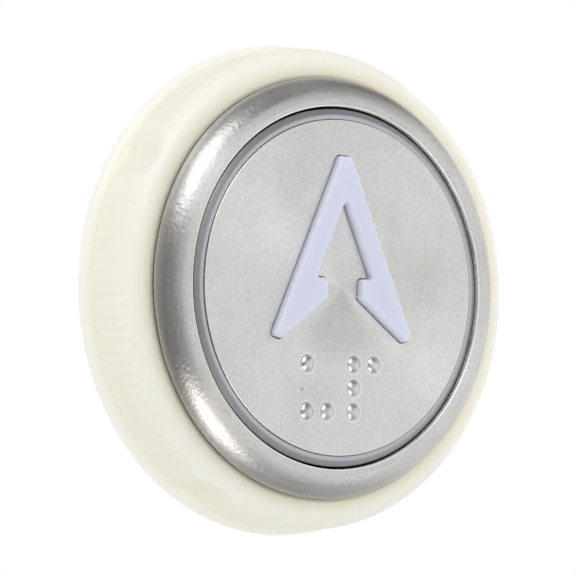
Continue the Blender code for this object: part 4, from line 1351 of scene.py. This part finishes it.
@dataclass
class RingNut:
    """Nylon nut with fine ribs, finger scallops and a smooth rear rim."""

    rib_count: int = 136
    rib_depth: float = 0.14 * MM
    columns_per_rib: int = 5
    scallop_count: int = 4
    scallop_first: float = radians(59.5)
    scallop_r: float = 10.6 * MM
    scallop_floor_r: float = 24.35 * MM
    side_r: float = 25.1 * MM
    rim_r: float = field(default_factory=lambda: outer_radius("ring_nut"))
    bore_r: float = 19.65 * MM
    lip_r: float = 21.9 * MM
    lip_front: float = -0.03 * MM
    recess_r: float = 22.15 * MM
    recess_floor: float = -2.1 * MM
    shoulder_r: float = 23.3 * MM
    shoulder_bottom: float = -2.6 * MM
    front: float = field(default_factory=lambda: height_span("ring_nut")[1])
    rear: float = field(default_factory=lambda: height_span("ring_nut")[0])
    rim_front: float = -6.4 * MM
    rear_groove_outer_r: float = 24.6 * MM
    rear_groove_inner_r: float = 21.0 * MM
    rear_groove_depth: float = 0.25 * MM
    rear_groove_slope: float = 0.3 * MM

    def section(self) -> list[Vector]:
        """Turned section of the nut before ribs and scallops."""
        corners: list[Corner] = [(self.lip_r, self.lip_front, 0.04 * MM),
                                 (self.lip_r + 0.3 * MM, self.front, 0.2 * MM)]
        reach = self.side_r - self.shoulder_r
        drop = self.front - self.shoulder_bottom
        count = 14
        for index in range(count + 1):
            angle = pi / 2 * (1 - index / count)
            corners.append((self.shoulder_r + reach * cos(angle),
                            self.shoulder_bottom + drop * sin(angle), 0.0))
        side_stations = 8
        fall = self.rim_front - self.shoulder_bottom
        groove_floor = self.rear + self.rear_groove_depth
        for index in range(1, side_stations + 1):
            height = self.shoulder_bottom + fall * index / side_stations
            corners.append((self.side_r, height, 0.0))
        corners += [(self.side_r + 0.12 * MM, self.rim_front - 0.10 * MM, 0.0),
                    (self.rim_r - 0.18 * MM, self.rim_front - 0.32 * MM, 0.0),
                    (self.rim_r, self.rim_front - 0.75 * MM, 0.3 * MM),
                    (self.rim_r, self.rear, 0.35 * MM),
                    (self.rear_groove_outer_r, self.rear, 0.1 * MM),
                    (self.rear_groove_outer_r - self.rear_groove_slope, groove_floor, 0.1 * MM),
                    (self.rear_groove_inner_r + self.rear_groove_slope, groove_floor, 0.1 * MM),
                    (self.rear_groove_inner_r, self.rear, 0.1 * MM),
                    (self.bore_r + 0.45 * MM, self.rear, 0.08 * MM),
                    (self.bore_r, self.rear + 0.45 * MM, 0.08 * MM),
                    (self.bore_r, self.recess_floor, 0.08 * MM),
                    (self.recess_r, self.recess_floor, 0.08 * MM),
                    (self.recess_r, self.front - 0.5 * MM, 0.05 * MM),
                    (self.lip_r, self.front - 0.35 * MM, 0.05 * MM)]
        return rounded(corners, closed=True, steps=4)

    def scallop_limit(self, angle: float) -> float:
        """Radius of the scalloped outline at an angle, or the rim's radius between scallops."""
        pitch = tau / self.scallop_count
        offset = (angle - self.scallop_first + pitch / 2) % pitch - pitch / 2
        centre = self.scallop_floor_r + self.scallop_r
        across = centre * sin(offset)
        if abs(across) >= self.scallop_r or abs(offset) > pitch / 3:
            return self.rim_r + MM
        return centre * cos(offset) - sqrt(self.scallop_r ** 2 - across ** 2)

    def side_radius(self, radius: float, angle: float, height: float) -> float:
        """Radius of the ribbed and scalloped side at a point of the turned section.

        Args:
            radius: radius of the plain turned section there.
            angle: angle about the axis.
            height: height along the axis.

        Returns:
            The radius with ribs and scallops.
        """
        fade_front = min(1.0, max(0.0, (-0.45 * MM - height) / (0.9 * MM)))
        fade_rear = min(1.0, max(0.0, (height - self.rim_front) / (0.35 * MM)))
        fade = fade_front * fade_rear
        crest = 0.5 + 0.5 * cos(angle * self.rib_count)
        ribbed = radius + self.rib_depth * fade * (crest ** 0.75 - 0.5)
        limit = self.scallop_limit(angle)
        keep = min(1.0, max(0.0, (self.rim_front + 0.02 * MM - height) / (0.25 * MM)))
        limit += keep * 3 * MM
        soft = 0.16 * MM
        gap = ribbed - limit
        if gap > soft:
            return limit
        if gap > -soft:
            return ribbed - (gap + soft) ** 2 / (4 * soft)
        return ribbed

    def build(self, nylon: bpy.types.Material) -> None:
        """Build and dress the nut."""
        bm = spun(self.section(), self.rib_count * self.columns_per_rib, closed=True)
        for vert in bm.verts:
            radius = hypot(vert.co.x, vert.co.y)
            if radius < 22.6 * MM or vert.co.z < self.rim_front - 0.33 * MM:
                continue
            angle = atan2(vert.co.y, vert.co.x)
            new_radius = self.side_radius(radius, angle, vert.co.z)
            vert.co.x *= new_radius / radius
            vert.co.y *= new_radius / radius
        finish_piece(bm, "panel_ring_nut", Body.NUT, nylon, ["ring_nut"],
                     crease=55.0)


def helix_ridge(root: float, crest: float, pitch: float, front: float, turns: float,
                steps: int) -> bmesh.types.BMesh:
    """One thread: a ridge wound around the button's axis towards the rear.

    Args:
        root: radius where the ridge meets its core.
        crest: radius of the ridge's top.
        pitch: advance per turn.
        front: height where it starts.
        turns: how many turns.
        steps: faces per turn.

    Returns:
        A closed ridge.
    """
    bm = bmesh.new()
    half = pitch * 0.46
    flat = pitch * 0.07
    section = [(root, half), (crest, flat), (crest, -flat), (root, -half)]
    verts = [bm.verts.new((radius, 0.0, front - half + height)) for radius, height in section]
    face = bm.faces.new(verts)
    bmesh.ops.spin(bm, geom=[*verts, *face.edges, face], cent=(0, 0, 0), axis=(0, 0, 1),
                   angle=-tau * turns, steps=int(steps * turns),
                   dvec=(0, 0, -pitch / steps), use_merge=False, use_duplicate=False)
    ends = [edge for edge in bm.edges if edge.is_boundary]
    bmesh.ops.holes_fill(bm, edges=ends, sides=8)
    bmesh.ops.recalc_face_normals(bm, faces=bm.faces)
    return bm


def copy_of(node: str) -> bmesh.types.BMesh:
    """A merged copy of a CAD node's mesh, in the button's axes."""
    bm = bmesh.new()
    bm.from_mesh(frame["nodes"][node].data)
    bmesh.ops.remove_doubles(bm, verts=bm.verts, dist=1e-6)
    bmesh.ops.transform(bm, matrix=TO_FRAME.inverted(), verts=bm.verts)
    return bm


@dataclass
class Barrel:
    """Threaded housing, cut from the CAD shape and given its thread."""

    major_r: float = 19.5 * MM
    root_r: float = 18.85 * MM
    pitch: float = 1.5 * MM
    thread_front: float = -0.3 * MM
    rear: float = field(default_factory=lambda: height_span("barrel")[0])
    slot_width: float = 3.0 * MM
    slot_depth: float = 3.0 * MM
    spare: float = 2.0 * MM

    def build(self, plastic: bpy.types.Material) -> None:
        """Build and dress the barrel."""
        sleeve = rounded([(self.root_r, self.thread_front, 0.0),
                          (self.major_r + self.spare, self.thread_front, 0.0),
                          (self.major_r + self.spare, self.rear - MM, 0.0),
                          (self.root_r - 0.3 * MM, self.rear - MM, 0.0),
                          (self.root_r - 0.3 * MM, self.rear, 0.0),
                          (self.root_r, self.rear + 0.3 * MM, 0.0)], closed=True)
        bm = cut(copy_of("barrel"), spun(sleeve, 128, closed=True))
        turns = (self.thread_front - self.rear - 0.5 * MM) / self.pitch - 1.0
        thread = helix_ridge(self.root_r - 0.25 * MM, self.major_r, self.pitch,
                             self.thread_front - 0.2 * MM, turns, 96)
        length = self.thread_front - self.rear
        key_way = block((self.slot_width, self.slot_depth, length + self.spare),
                        (0.0, -self.root_r - 1.0 * MM, self.rear + length / 2))
        add(bm, cut(thread, key_way))
        finish_piece(bm, "threaded_barrel", Body.HOUSING, plastic, ["barrel"],
                     crease=30.0)


@dataclass
class Stations:
    """Where the three screws and springs stand."""

    radius: float = 13.0 * MM
    angles: tuple[float, ...] = tuple(radians(angle) for angle in (90.0, 210.0, 330.0))

    def spots(self) -> list[Vector]:
        """Points of the three stations."""
        return [Vector((self.radius * cos(angle), self.radius * sin(angle), 0.0))
                for angle in self.angles]


@dataclass
class RearCover:
    """Cover that closes the barrel, with moulded steps and screw recesses."""

    stations: Stations
    radius: float = 17.72 * MM
    inner: float = -13.0 * MM
    outer: float = -14.6 * MM
    boss_top: float = -12.5 * MM
    boss_r: float = 2.5 * MM
    hole_r: float = 1.2 * MM
    recess_r: float = 2.2 * MM
    recess_floor: float = -13.3 * MM
    groove_outer_r: float = 16.4 * MM
    groove_inner_r: float = 15.5 * MM
    groove_depth: float = 0.25 * MM
    groove_slope: float = 0.2 * MM
    mouth: tuple[float, float, float] = (12.9 * MM, 6.9 * MM, 6.0 * MM)

    def build(self, plastic: bpy.types.Material) -> None:
        """Build and dress the cover."""
        groove_floor = self.outer + self.groove_depth
        corners = [(0.0, self.inner, 0.0), (self.radius, self.inner, 0.1 * MM),
                   (self.radius, self.outer, 0.25 * MM),
                   (self.groove_outer_r, self.outer, 0.08 * MM),
                   (self.groove_outer_r - self.groove_slope, groove_floor, 0.08 * MM),
                   (self.groove_inner_r + self.groove_slope, groove_floor, 0.08 * MM),
                   (self.groove_inner_r, self.outer, 0.08 * MM), (0.0, self.outer, 0.0)]
        bm = spun(rounded(corners, closed=False), 128, closed=False)
        bm = cut(bm, block(self.mouth, (0.0, 0.0, (self.inner + self.outer) / 2), 0.2 * MM))
        for spot in self.stations.spots():
            for radius, top, bottom in ((self.hole_r, self.boss_top + MM, self.outer - MM),
                                        (self.recess_r, self.recess_floor, self.outer - MM)):
                hole = bmesh.new()
                bmesh.ops.create_cone(hole, cap_ends=True, segments=48, radius1=radius,
                                      radius2=radius, depth=top - bottom,
                                      matrix=Matrix.Translation((spot.x, spot.y, (top + bottom) / 2)))
                bm = cut(bm, hole)
        bmesh.ops.dissolve_limit(bm, angle_limit=radians(0.5), verts=bm.verts, edges=bm.edges)
        mouths = [edge for edge in sharp_edges(bm, 1.2)
                  if all(vert.co.z < self.outer + 0.01 * MM for vert in edge.verts)]
        soften(bm, mouths, 0.1 * MM, 2)
        sleeve = rounded([(self.boss_r, self.boss_top, 0.1 * MM),
                          (self.boss_r, self.inner - 0.2 * MM, 0.0),
                          (self.hole_r, self.inner - 0.2 * MM, 0.0),
                          (self.hole_r, self.boss_top, 0.05 * MM)], closed=True)
        for spot in self.stations.spots():
            add(bm, spun(sleeve, 48, closed=True), Matrix.Translation(spot))
        finish_piece(bm, "rear_cover_moulding", Body.HOUSING, plastic,
                     ["rear_cover"], crease=35.0)


@dataclass
class CoverScrews:
    """Pan-head screws with a cross recess and a rolled thread."""

    stations: Stations
    shank_r: float = 0.72 * MM
    crest_r: float = 0.9 * MM
    head_r: float = 1.9 * MM
    head_front: float = -13.6 * MM
    head_rear: float = -14.6 * MM
    tip: float = -8.6 * MM
    pitch: float = 0.45 * MM
    cross_length: float = 2.0 * MM
    cross_width: float = 0.42 * MM
    cross_depth: float = 1.1 * MM

    def one(self) -> bmesh.types.BMesh:
        """One screw on the button's axis."""
        corners = [(0.0, self.tip, 0.0), (0.3 * MM, self.tip, 0.05 * MM),
                   (self.shank_r, self.tip - 0.6 * MM, 0.1 * MM),
                   (self.shank_r, self.head_front, 0.05 * MM),
                   (self.head_r, self.head_front, 0.08 * MM),
                   (self.head_r, self.head_front - 0.45 * MM, 0.2 * MM),
                   (self.head_r * 0.72, self.head_rear + 0.08 * MM, 0.4 * MM),
                   (0.0, self.head_rear, 0.0)]
        bm = spun(rounded(corners, closed=False, steps=6), 48, closed=False)
        for across, along in ((self.cross_length, self.cross_width),
                              (self.cross_width, self.cross_length)):
            bar = block((across, along, self.cross_depth), (0.0, 0.0, self.head_rear), 0.04 * MM, 1)
            bm = cut(bm, bar)
        turns = (self.tip - self.head_front - 2 * self.pitch) / self.pitch - 1
        add(bm, helix_ridge(self.shank_r - 0.05 * MM, self.crest_r, self.pitch,
                            self.tip - 0.5 * MM, turns, 20))
        return bm

    def build(self, zinc: bpy.types.Material) -> None:
        """Build and dress the three screws."""
        for number, spot in enumerate(self.stations.spots(), start=1):
            bm = self.one()
            turn = Matrix.Rotation(0.5 * number, 4, "Z")
            bmesh.ops.transform(bm, matrix=Matrix.Translation(spot) @ turn, verts=bm.verts)
            finish_piece(bm, f"pan_head_screw_{number}", Body.HOUSING, zinc,
                         [f"cover_screw_{number}"], crease=35.0)


@dataclass
class ReturnSprings:
    """Three coil springs with closed ends, squeezed as the button goes in."""

    stations: Stations
    radius: float = 1.3 * MM
    wire_r: float = 0.2 * MM
    front: float = -2.9 * MM
    rear: float = -7.2 * MM
    travel: float = 1.0 * MM
    active_turns: float = 3.5
    steps_per_turn: int = 30

    def one(self) -> bmesh.types.BMesh:
        """One spring on the button's axis."""
        bm = bmesh.new()
        upright = Matrix.Translation((self.radius, 0.0, self.rear + self.wire_r)) \
            @ Matrix.Rotation(pi / 2, 4, "X")
        bmesh.ops.create_circle(bm, cap_ends=False, segments=10, radius=self.wire_r, matrix=upright)
        closed_rise = 2 * self.wire_r
        free = self.front - self.rear - 2 * self.wire_r - 2 * closed_rise
        ring = bm.verts[:] + bm.edges[:]
        for turns, rise in ((1.0, closed_rise), (self.active_turns, free), (1.0, closed_rise)):
            count = int(self.steps_per_turn * turns)
            spun_out = bmesh.ops.spin(bm, geom=ring, cent=(0, 0, 0), axis=(0, 0, 1),
                                      angle=tau * turns, steps=count,
                                      dvec=(0, 0, rise / count), use_merge=False,
                                      use_duplicate=False)
            ring = spun_out["geom_last"]
        ends = [edge for edge in bm.edges if edge.is_boundary]
        bmesh.ops.holes_fill(bm, edges=ends, sides=12)
        bmesh.ops.recalc_face_normals(bm, faces=bm.faces)
        return bm

    def build(self, zinc: bpy.types.Material) -> None:
        """Build and dress the springs, each with a mesh of its own."""
        for number, spot in enumerate(self.stations.spots(), start=1):
            bm = self.one()
            bmesh.ops.translate(bm, vec=spot, verts=bm.verts)
            spring = finish_piece(bm, f"coil_spring_{number}", Body.HOUSING, zinc,
                                  [f"return_spring_{number}"], crease=60.0)
            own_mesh(spring)


@dataclass
class Connector:
    """Four-way header: shroud with latch slots and ribs, and square pins."""

    size: tuple[float, float] = (12.4 * MM, 6.4 * MM)
    wall: float = 0.8 * MM
    front: float = -12.5 * MM
    rear: float = field(default_factory=lambda: height_span("connector_housing")[0])
    floor: float = -14.1 * MM
    pin_side: float = 0.64 * MM
    pin_count: int = 4
    pin_taper: float = 0.55
    slot: tuple[float, float, float] = (1.4 * MM, 3.0 * MM, 4.0 * MM)
    slot_offset: float = 3.0 * MM
    rib: tuple[float, float, float] = (0.5 * MM, 0.35 * MM, 3.6 * MM)
    rib_offset: float = 4.6 * MM
    rib_from_rear: float = 2.6 * MM

    def build(self, nylon: bpy.types.Material, tin: bpy.types.Material) -> None:
        """Build and dress the shroud and its pins.

        Args:
            nylon: finish of the shroud.
            tin: finish of the pins.
        """
        length = self.front - self.rear
        middle = (self.front + self.rear) / 2
        bm = block((*self.size, length), (0.0, 0.0, middle), 0.25 * MM, 3)
        depth = self.floor - self.rear + 2 * MM
        hollow = (self.size[0] - 2 * self.wall, self.size[1] - 2 * self.wall, depth)
        bm = cut(bm, block(hollow, (0.0, 0.0, self.floor - depth / 2), 0.2 * MM))
        for side in (-1, 1):
            slot = block(self.slot, (side * self.slot_offset, self.size[1] / 2, self.rear), 0.1 * MM)
            bm = cut(bm, slot)
        bmesh.ops.dissolve_limit(bm, angle_limit=radians(0.5), verts=bm.verts, edges=bm.edges)
        for side in (-1, 1):
            place = (side * self.rib_offset, -self.size[1] / 2 - 0.1 * MM,
                     self.rear + self.rib_from_rear)
            add(bm, block(self.rib, place, 0.08 * MM))
        finish_piece(bm, "header_shroud", Body.HOUSING, nylon,
                     ["connector_housing"], crease=35.0)
        for index in range(self.pin_count):
            low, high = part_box(f"connector_pin_{index + 1}")
            pin = block((self.pin_side, self.pin_side, high.y - low.y),
                        (0.0, 0.0, -(low.y + high.y) / 2), 0.06 * MM, 1)
            tip = [vert for vert in pin.verts if vert.co.z < -high.y + 0.1 * MM]
            bmesh.ops.scale(pin, vec=(self.pin_taper, self.pin_taper, 1.0), verts=tip)
            bmesh.ops.translate(pin, vec=((low.x + high.x) / 2, 0.0, 0.0), verts=pin.verts)
            finish_piece(pin, f"header_pin_{index + 1}", Body.HOUSING, tin,
                         [f"connector_pin_{index + 1}"])


# ------------------------------------------------------------------ studio

@dataclass
class Studio:
    """Plain pale floor, soft light and the camera."""

    azimuth: float = radians(-38.11)
    elevation: float = radians(-2.82)
    roll: float = radians(0.75)
    distance: float = 0.28
    lens: float = 168.7
    floor_radius: float = 0.75
    floor_height: float = -0.08
    light_distance: float = 0.6
    yaw: float = radians(0.9117)
    target: tuple[float, float, float] = (0.0, -0.0006, 0.0)

    def camera(self) -> None:
        """Set the camera at its viewing angle."""
        back = Vector((sin(self.azimuth) * cos(self.elevation),
                       -cos(self.azimuth) * cos(self.elevation), sin(self.elevation)))
        right = Vector((cos(self.azimuth), sin(self.azimuth), 0.0))
        upright = Matrix.Rotation(self.roll, 3, back)
        right = upright @ right
        up = back.cross(right)
        turn = Matrix.Rotation(self.yaw, 3, up)
        right, back_turned = turn @ right, turn @ back
        data = bpy.data.cameras.new("camera")
        data.lens = self.lens
        data.sensor_width = 36.0
        data.clip_start = 0.01
        camera = bpy.data.objects.new("camera", data)
        spot = Vector(self.target) + back * self.distance
        camera.matrix_world = Matrix((
            (right.x, up.x, back_turned.x, spot.x), (right.y, up.y, back_turned.y, spot.y),
            (right.z, up.z, back_turned.z, spot.z), (0.0, 0.0, 0.0, 1.0)))
        bpy.context.scene.collection.objects.link(camera)
        bpy.context.scene.camera = camera

    def floor(self) -> None:
        """Lay the plain pale floor."""
        bm = bmesh.new()
        bmesh.ops.create_circle(bm, cap_ends=True, segments=96, radius=self.floor_radius)
        mesh = bpy.data.meshes.new("floor")
        bm.to_mesh(mesh)
        bm.free()
        floor = bpy.data.objects.new("floor", mesh)
        floor.location = (0.0, 0.0, self.floor_height)
        floor.visible_glossy = False
        bpy.context.scene.collection.objects.link(floor)
        pale = bpy.data.materials.new("pale_floor")
        pale.use_nodes = True
        shader = pale.node_tree.nodes["Principled BSDF"]
        shader.inputs["Base Color"].default_value = (0.9, 0.9, 0.9, 1.0)
        shader.inputs["Roughness"].default_value = 0.9
        mesh.materials.append(pale)

    def softbox(self, name: str, azimuth: float, elevation: float, size: float, power: float,
                colour: Colour = (1.0, 1.0, 1.0)) -> None:
        """Hang an area light that looks at the button.

        Args:
            name: the light's name.
            azimuth: direction in degrees, as the camera's.
            elevation: degrees above the button.
            size: side of the square in metres.
            power: watts.
            colour: tint of the light.
        """
        data = bpy.data.lights.new(name, "AREA")
        data.size = size
        data.energy = power
        data.color = colour
        light = bpy.data.objects.new(name, data)
        turn, lift = radians(azimuth), radians(elevation)
        spot = Vector((sin(turn) * cos(lift), -cos(turn) * cos(lift), sin(lift)))
        spot *= self.light_distance
        light.location = spot
        light.rotation_euler = spot.to_track_quat("Z", "Y").to_euler()
        light.visible_camera = False
        light.visible_diffuse = False
        bpy.context.scene.collection.objects.link(light)

    def surroundings(self) -> None:
        """White surroundings, with a darker side that the polished steel mirrors."""
        world = bpy.data.worlds.new("studio")
        bpy.context.scene.world = world
        world.use_nodes = True
        tree = world.node_tree
        nodes, links = tree.nodes, tree.links
        nodes.clear()
        ray = nodes.new("ShaderNodeLightPath")
        ray.label = "What looks at the surroundings"
        direction = nodes.new("ShaderNodeTexCoord")
        direction.label = "Direction"
        dark_side = nodes.new("ShaderNodeVectorMath")
        dark_side.label = "Towards the dark side of the room"
        dark_side.operation = "DOT_PRODUCT"
        dark_side.inputs[1].default_value = (-0.97, 0.05, 0.0)
        side = nodes.new("ShaderNodeMapRange")
        side.label = "Soft edge of the dark side"
        side.interpolation_type = "SMOOTHSTEP"
        side.inputs["From Min"].default_value = -0.5
        side.inputs["From Max"].default_value = 0.60
        side.inputs["To Min"].default_value = 1.0
        side.inputs["To Max"].default_value = 0.24
        axes = nodes.new("ShaderNodeSeparateXYZ")
        axes.label = "Height above the horizon"
        lid = nodes.new("ShaderNodeMapRange")
        lid.label = "Darker overhead"
        lid.interpolation_type = "SMOOTHSTEP"
        lid.inputs["From Min"].default_value = 0.25
        lid.inputs["From Max"].default_value = 0.65
        lid.inputs["To Min"].default_value = 1.0
        lid.inputs["To Max"].default_value = 0.24
        pit = nodes.new("ShaderNodeMapRange")
        pit.label = "A little darker underfoot"
        pit.interpolation_type = "SMOOTHSTEP"
        pit.inputs["From Min"].default_value = -0.35
        pit.inputs["From Max"].default_value = -0.75
        pit.inputs["To Min"].default_value = 1.0
        pit.inputs["To Max"].default_value = 0.45
        above = nodes.new("ShaderNodeMath")
        above.label = "Overhead or underfoot"
        above.operation = "MINIMUM"
        both = nodes.new("ShaderNodeMath")
        both.label = "The darker of the two"
        both.operation = "MINIMUM"
        mirrored = nodes.new("ShaderNodeBackground")
        mirrored.label = "What steel mirrors"
        strength = nodes.new("ShaderNodeMath")
        strength.label = "Brightness of the mirrored room"
        strength.operation = "MULTIPLY"
        strength.inputs[1].default_value = 1.3
        lighting = nodes.new("ShaderNodeBackground")
        lighting.label = "What lights the plastic"
        lighting.inputs["Strength"].default_value = 1.3
        seen = nodes.new("ShaderNodeBackground")
        seen.label = "What the camera sees"
        seen.inputs["Color"].default_value = (1.0, 1.0, 1.0, 1.0)
        glossy = nodes.new("ShaderNodeMixShader")
        glossy.label = "Mirrored or lighting"
        final = nodes.new("ShaderNodeMixShader")
        final.label = "Seen or lighting"
        output = nodes.new("ShaderNodeOutputWorld")
        links.new(direction.outputs["Generated"], dark_side.inputs[0])
        links.new(dark_side.outputs["Value"], side.inputs["Value"])
        links.new(direction.outputs["Generated"], axes.inputs["Vector"])
        links.new(axes.outputs["Z"], lid.inputs["Value"])
        links.new(axes.outputs["Z"], pit.inputs["Value"])
        links.new(lid.outputs["Result"], above.inputs[0])
        links.new(pit.outputs["Result"], above.inputs[1])
        links.new(side.outputs["Result"], both.inputs[0])
        links.new(above.outputs["Value"], both.inputs[1])
        links.new(both.outputs["Value"], strength.inputs[0])
        links.new(strength.outputs["Value"], mirrored.inputs["Strength"])
        links.new(ray.outputs["Is Glossy Ray"], glossy.inputs["Fac"])
        links.new(lighting.outputs["Background"], glossy.inputs[1])
        links.new(mirrored.outputs["Background"], glossy.inputs[2])
        links.new(ray.outputs["Is Camera Ray"], final.inputs["Fac"])
        links.new(glossy.outputs["Shader"], final.inputs[1])
        links.new(seen.outputs["Background"], final.inputs[2])
        links.new(final.outputs["Shader"], output.inputs["Surface"])
        for place, node in enumerate(nodes):
            node.location = (200.0 * place, 0.0)

    def build(self) -> None:
        """Set up camera, floor and light."""
        self.camera()
        self.floor()
        self.surroundings()
        self.softbox("upper_softbox", -36.0, 47.0, 0.40, 1.6)
        self.softbox("lower_softbox", -35.0, -54.0, 0.36, 1.5, (1.0, 0.95, 0.88))
        bpy.context.scene.view_settings.view_transform = "Standard"


def main() -> None:
    """Build and dress every piece in order, then the studio."""
    logging.basicConfig(level=logging.INFO, format="%(name)s: %(message)s")
    bezel_steel = WorkedMetal("turned_bezel_steel", light=(0.72, 0.72, 0.71),
                              dark=(0.56, 0.555, 0.54), arc_detail=2.0, lines_per_mm=4.5,
                              peel_depth=0.3, edge_polish_highlight=0.9, roughness=0.36,
                              anisotropy=0.8, mottle=0.6).material()
    bore_steel = WorkedMetal("bore_steel", light=(0.95, 0.95, 0.93), dark=(0.42, 0.41, 0.40),
                             arc_detail=38.0, lines_per_mm=3.0, roughness=0.5, metallic=0.0,
                             line_depth=0.8, anisotropy=0.0).material()
    # Near-white rim steel: a burnished edge, partly a painted highlight.
    rim_highlight_steel = WorkedMetal("burnished_rim_highlight_steel", light=(0.97, 0.97, 0.965),
                            dark=(0.90, 0.90, 0.89), metallic=0.35, roughness=0.3,
                            line_depth=0.1, anisotropy=0.0).material()
    # The plate's fan is painted shade, standing in for a darker reflection below the centre.
    plate_steel = WorkedMetal("brushed_plate_steel", light=(0.73, 0.73, 0.727),
                              dark=(0.655, 0.655, 0.65), centre=(1.0 * MM, -4.0 * MM),
                              lines_per_mm=4.0, arc_detail=5.0, roughness=0.34,
                              anisotropy=0.8, edge_polish_highlight=0.9, peel_scale=3000.0,
                              peel_depth=0.30, mottle=0.6, painted_fan=0.75).material()
    zinc = WorkedMetal("zinc_plating", light=(0.60, 0.61, 0.63), dark=(0.42, 0.42, 0.44),
                       lines_per_mm=9.0, roughness=0.36, pit_amount=0.2).material()
    tin = WorkedMetal("tin_plating", light=(0.72, 0.70, 0.64), dark=(0.55, 0.53, 0.48),
                      lines_per_mm=12.0, roughness=0.25, pit_amount=0.1).material()
    # The nylon gets strong painted shade and a painted glow next to the bezel.
    nylon = Moulding("natural_nylon_skin", (0.885, 0.87, 0.775), (0.875, 0.855, 0.735),
                     (0.93, 0.925, 0.86), 0.42, scatter=0.9, scatter_radius=0.0035,
                     painted_recess_shade=(0.95, 0.85, 0.60), painted_shade_reach=0.006, recess_painted_glow=0.40,
                     recess_r=24.9 * MM, painted_glow_from_r=22.11 * MM,
                     rub_amount=0.3).material()
    opal = Moulding("opal_lens_skin", (0.665, 0.688, 0.828), (0.65, 0.67, 0.81),
                    (0.74, 0.75, 0.84), 0.32, scatter=0.7, scatter_radius=0.0018,
                    skin_depth=0.05, rub_amount=0.2).material()
    # The halo's darker outer colour is painted shade from the bezel wall.
    halo = HaloTint("halo_lens_skin", (0.30, 0.30, 0.30), (0.40, 0.39, 0.48),
                    (0.46, 0.46, 0.47), 17.8 * MM, 0.3 * MM).material()
    black = Moulding("black_housing_skin", (0.022, 0.022, 0.024), (0.032, 0.032, 0.034),
                     (0.10, 0.10, 0.10), 0.5, skin_depth=0.5).material()
    carrier = Moulding("white_carrier_skin", (0.80, 0.80, 0.78), (0.74, 0.74, 0.72),
                       (0.85, 0.85, 0.84), 0.5).material()
    rubber = Moulding("gasket_rubber_skin", (0.018, 0.018, 0.018), (0.03, 0.03, 0.03),
                      (0.06, 0.06, 0.06), 0.8, skin_depth=0.6).material()
    switch_black = Moulding("switch_case_skin", (0.03, 0.03, 0.035), (0.045, 0.045, 0.05),
                            (0.12, 0.12, 0.12), 0.42).material()
    switch_red = Moulding("switch_button_skin", (0.50, 0.03, 0.02), (0.42, 0.03, 0.02),
                          (0.62, 0.12, 0.10), 0.38).material()
    header = Moulding("header_nylon_skin", (0.80, 0.77, 0.68), (0.74, 0.71, 0.62),
                      (0.86, 0.84, 0.78), 0.42, scatter=0.2).material()
    phosphor = Moulding("led_phosphor_skin", (0.86, 0.72, 0.30), (0.90, 0.84, 0.62),
                        (0.92, 0.90, 0.84), 0.3, mottle_scale=700.0).material()
    board = BoardMask("board_mask", (0.015, 0.13, 0.05), (0.10, 0.30, 0.10)).material()

    shape = ArrowShape()
    stations = Stations()
    Bezel().build(bezel_steel, bore_steel, rim_highlight_steel)
    FacePlate(shape).build(plate_steel)
    ArrowLens(shape).build(opal)
    HaloLens().build(halo)
    RingNut().build(nylon)
    Barrel().build(black)
    RearCover(stations).build(black)
    CoverScrews(stations).build(zinc)
    ReturnSprings(stations).build(zinc)
    Connector().build(header, tin)
    dress(["panel_gasket"], rubber)
    dress(["keyed_washer"], zinc)
    dress(["plunger"], carrier)
    dress(["circuit_board"], board)
    dress(["switch_case"], switch_black)
    dress(["switch_button"], switch_red)
    dress([f"switch_terminal_{number}" for number in (1, 2, 3)], tin)
    dress([f"led_{number}" for number in range(1, 7)], phosphor)
    Studio().build()


if __name__ == "__main__":
    main()
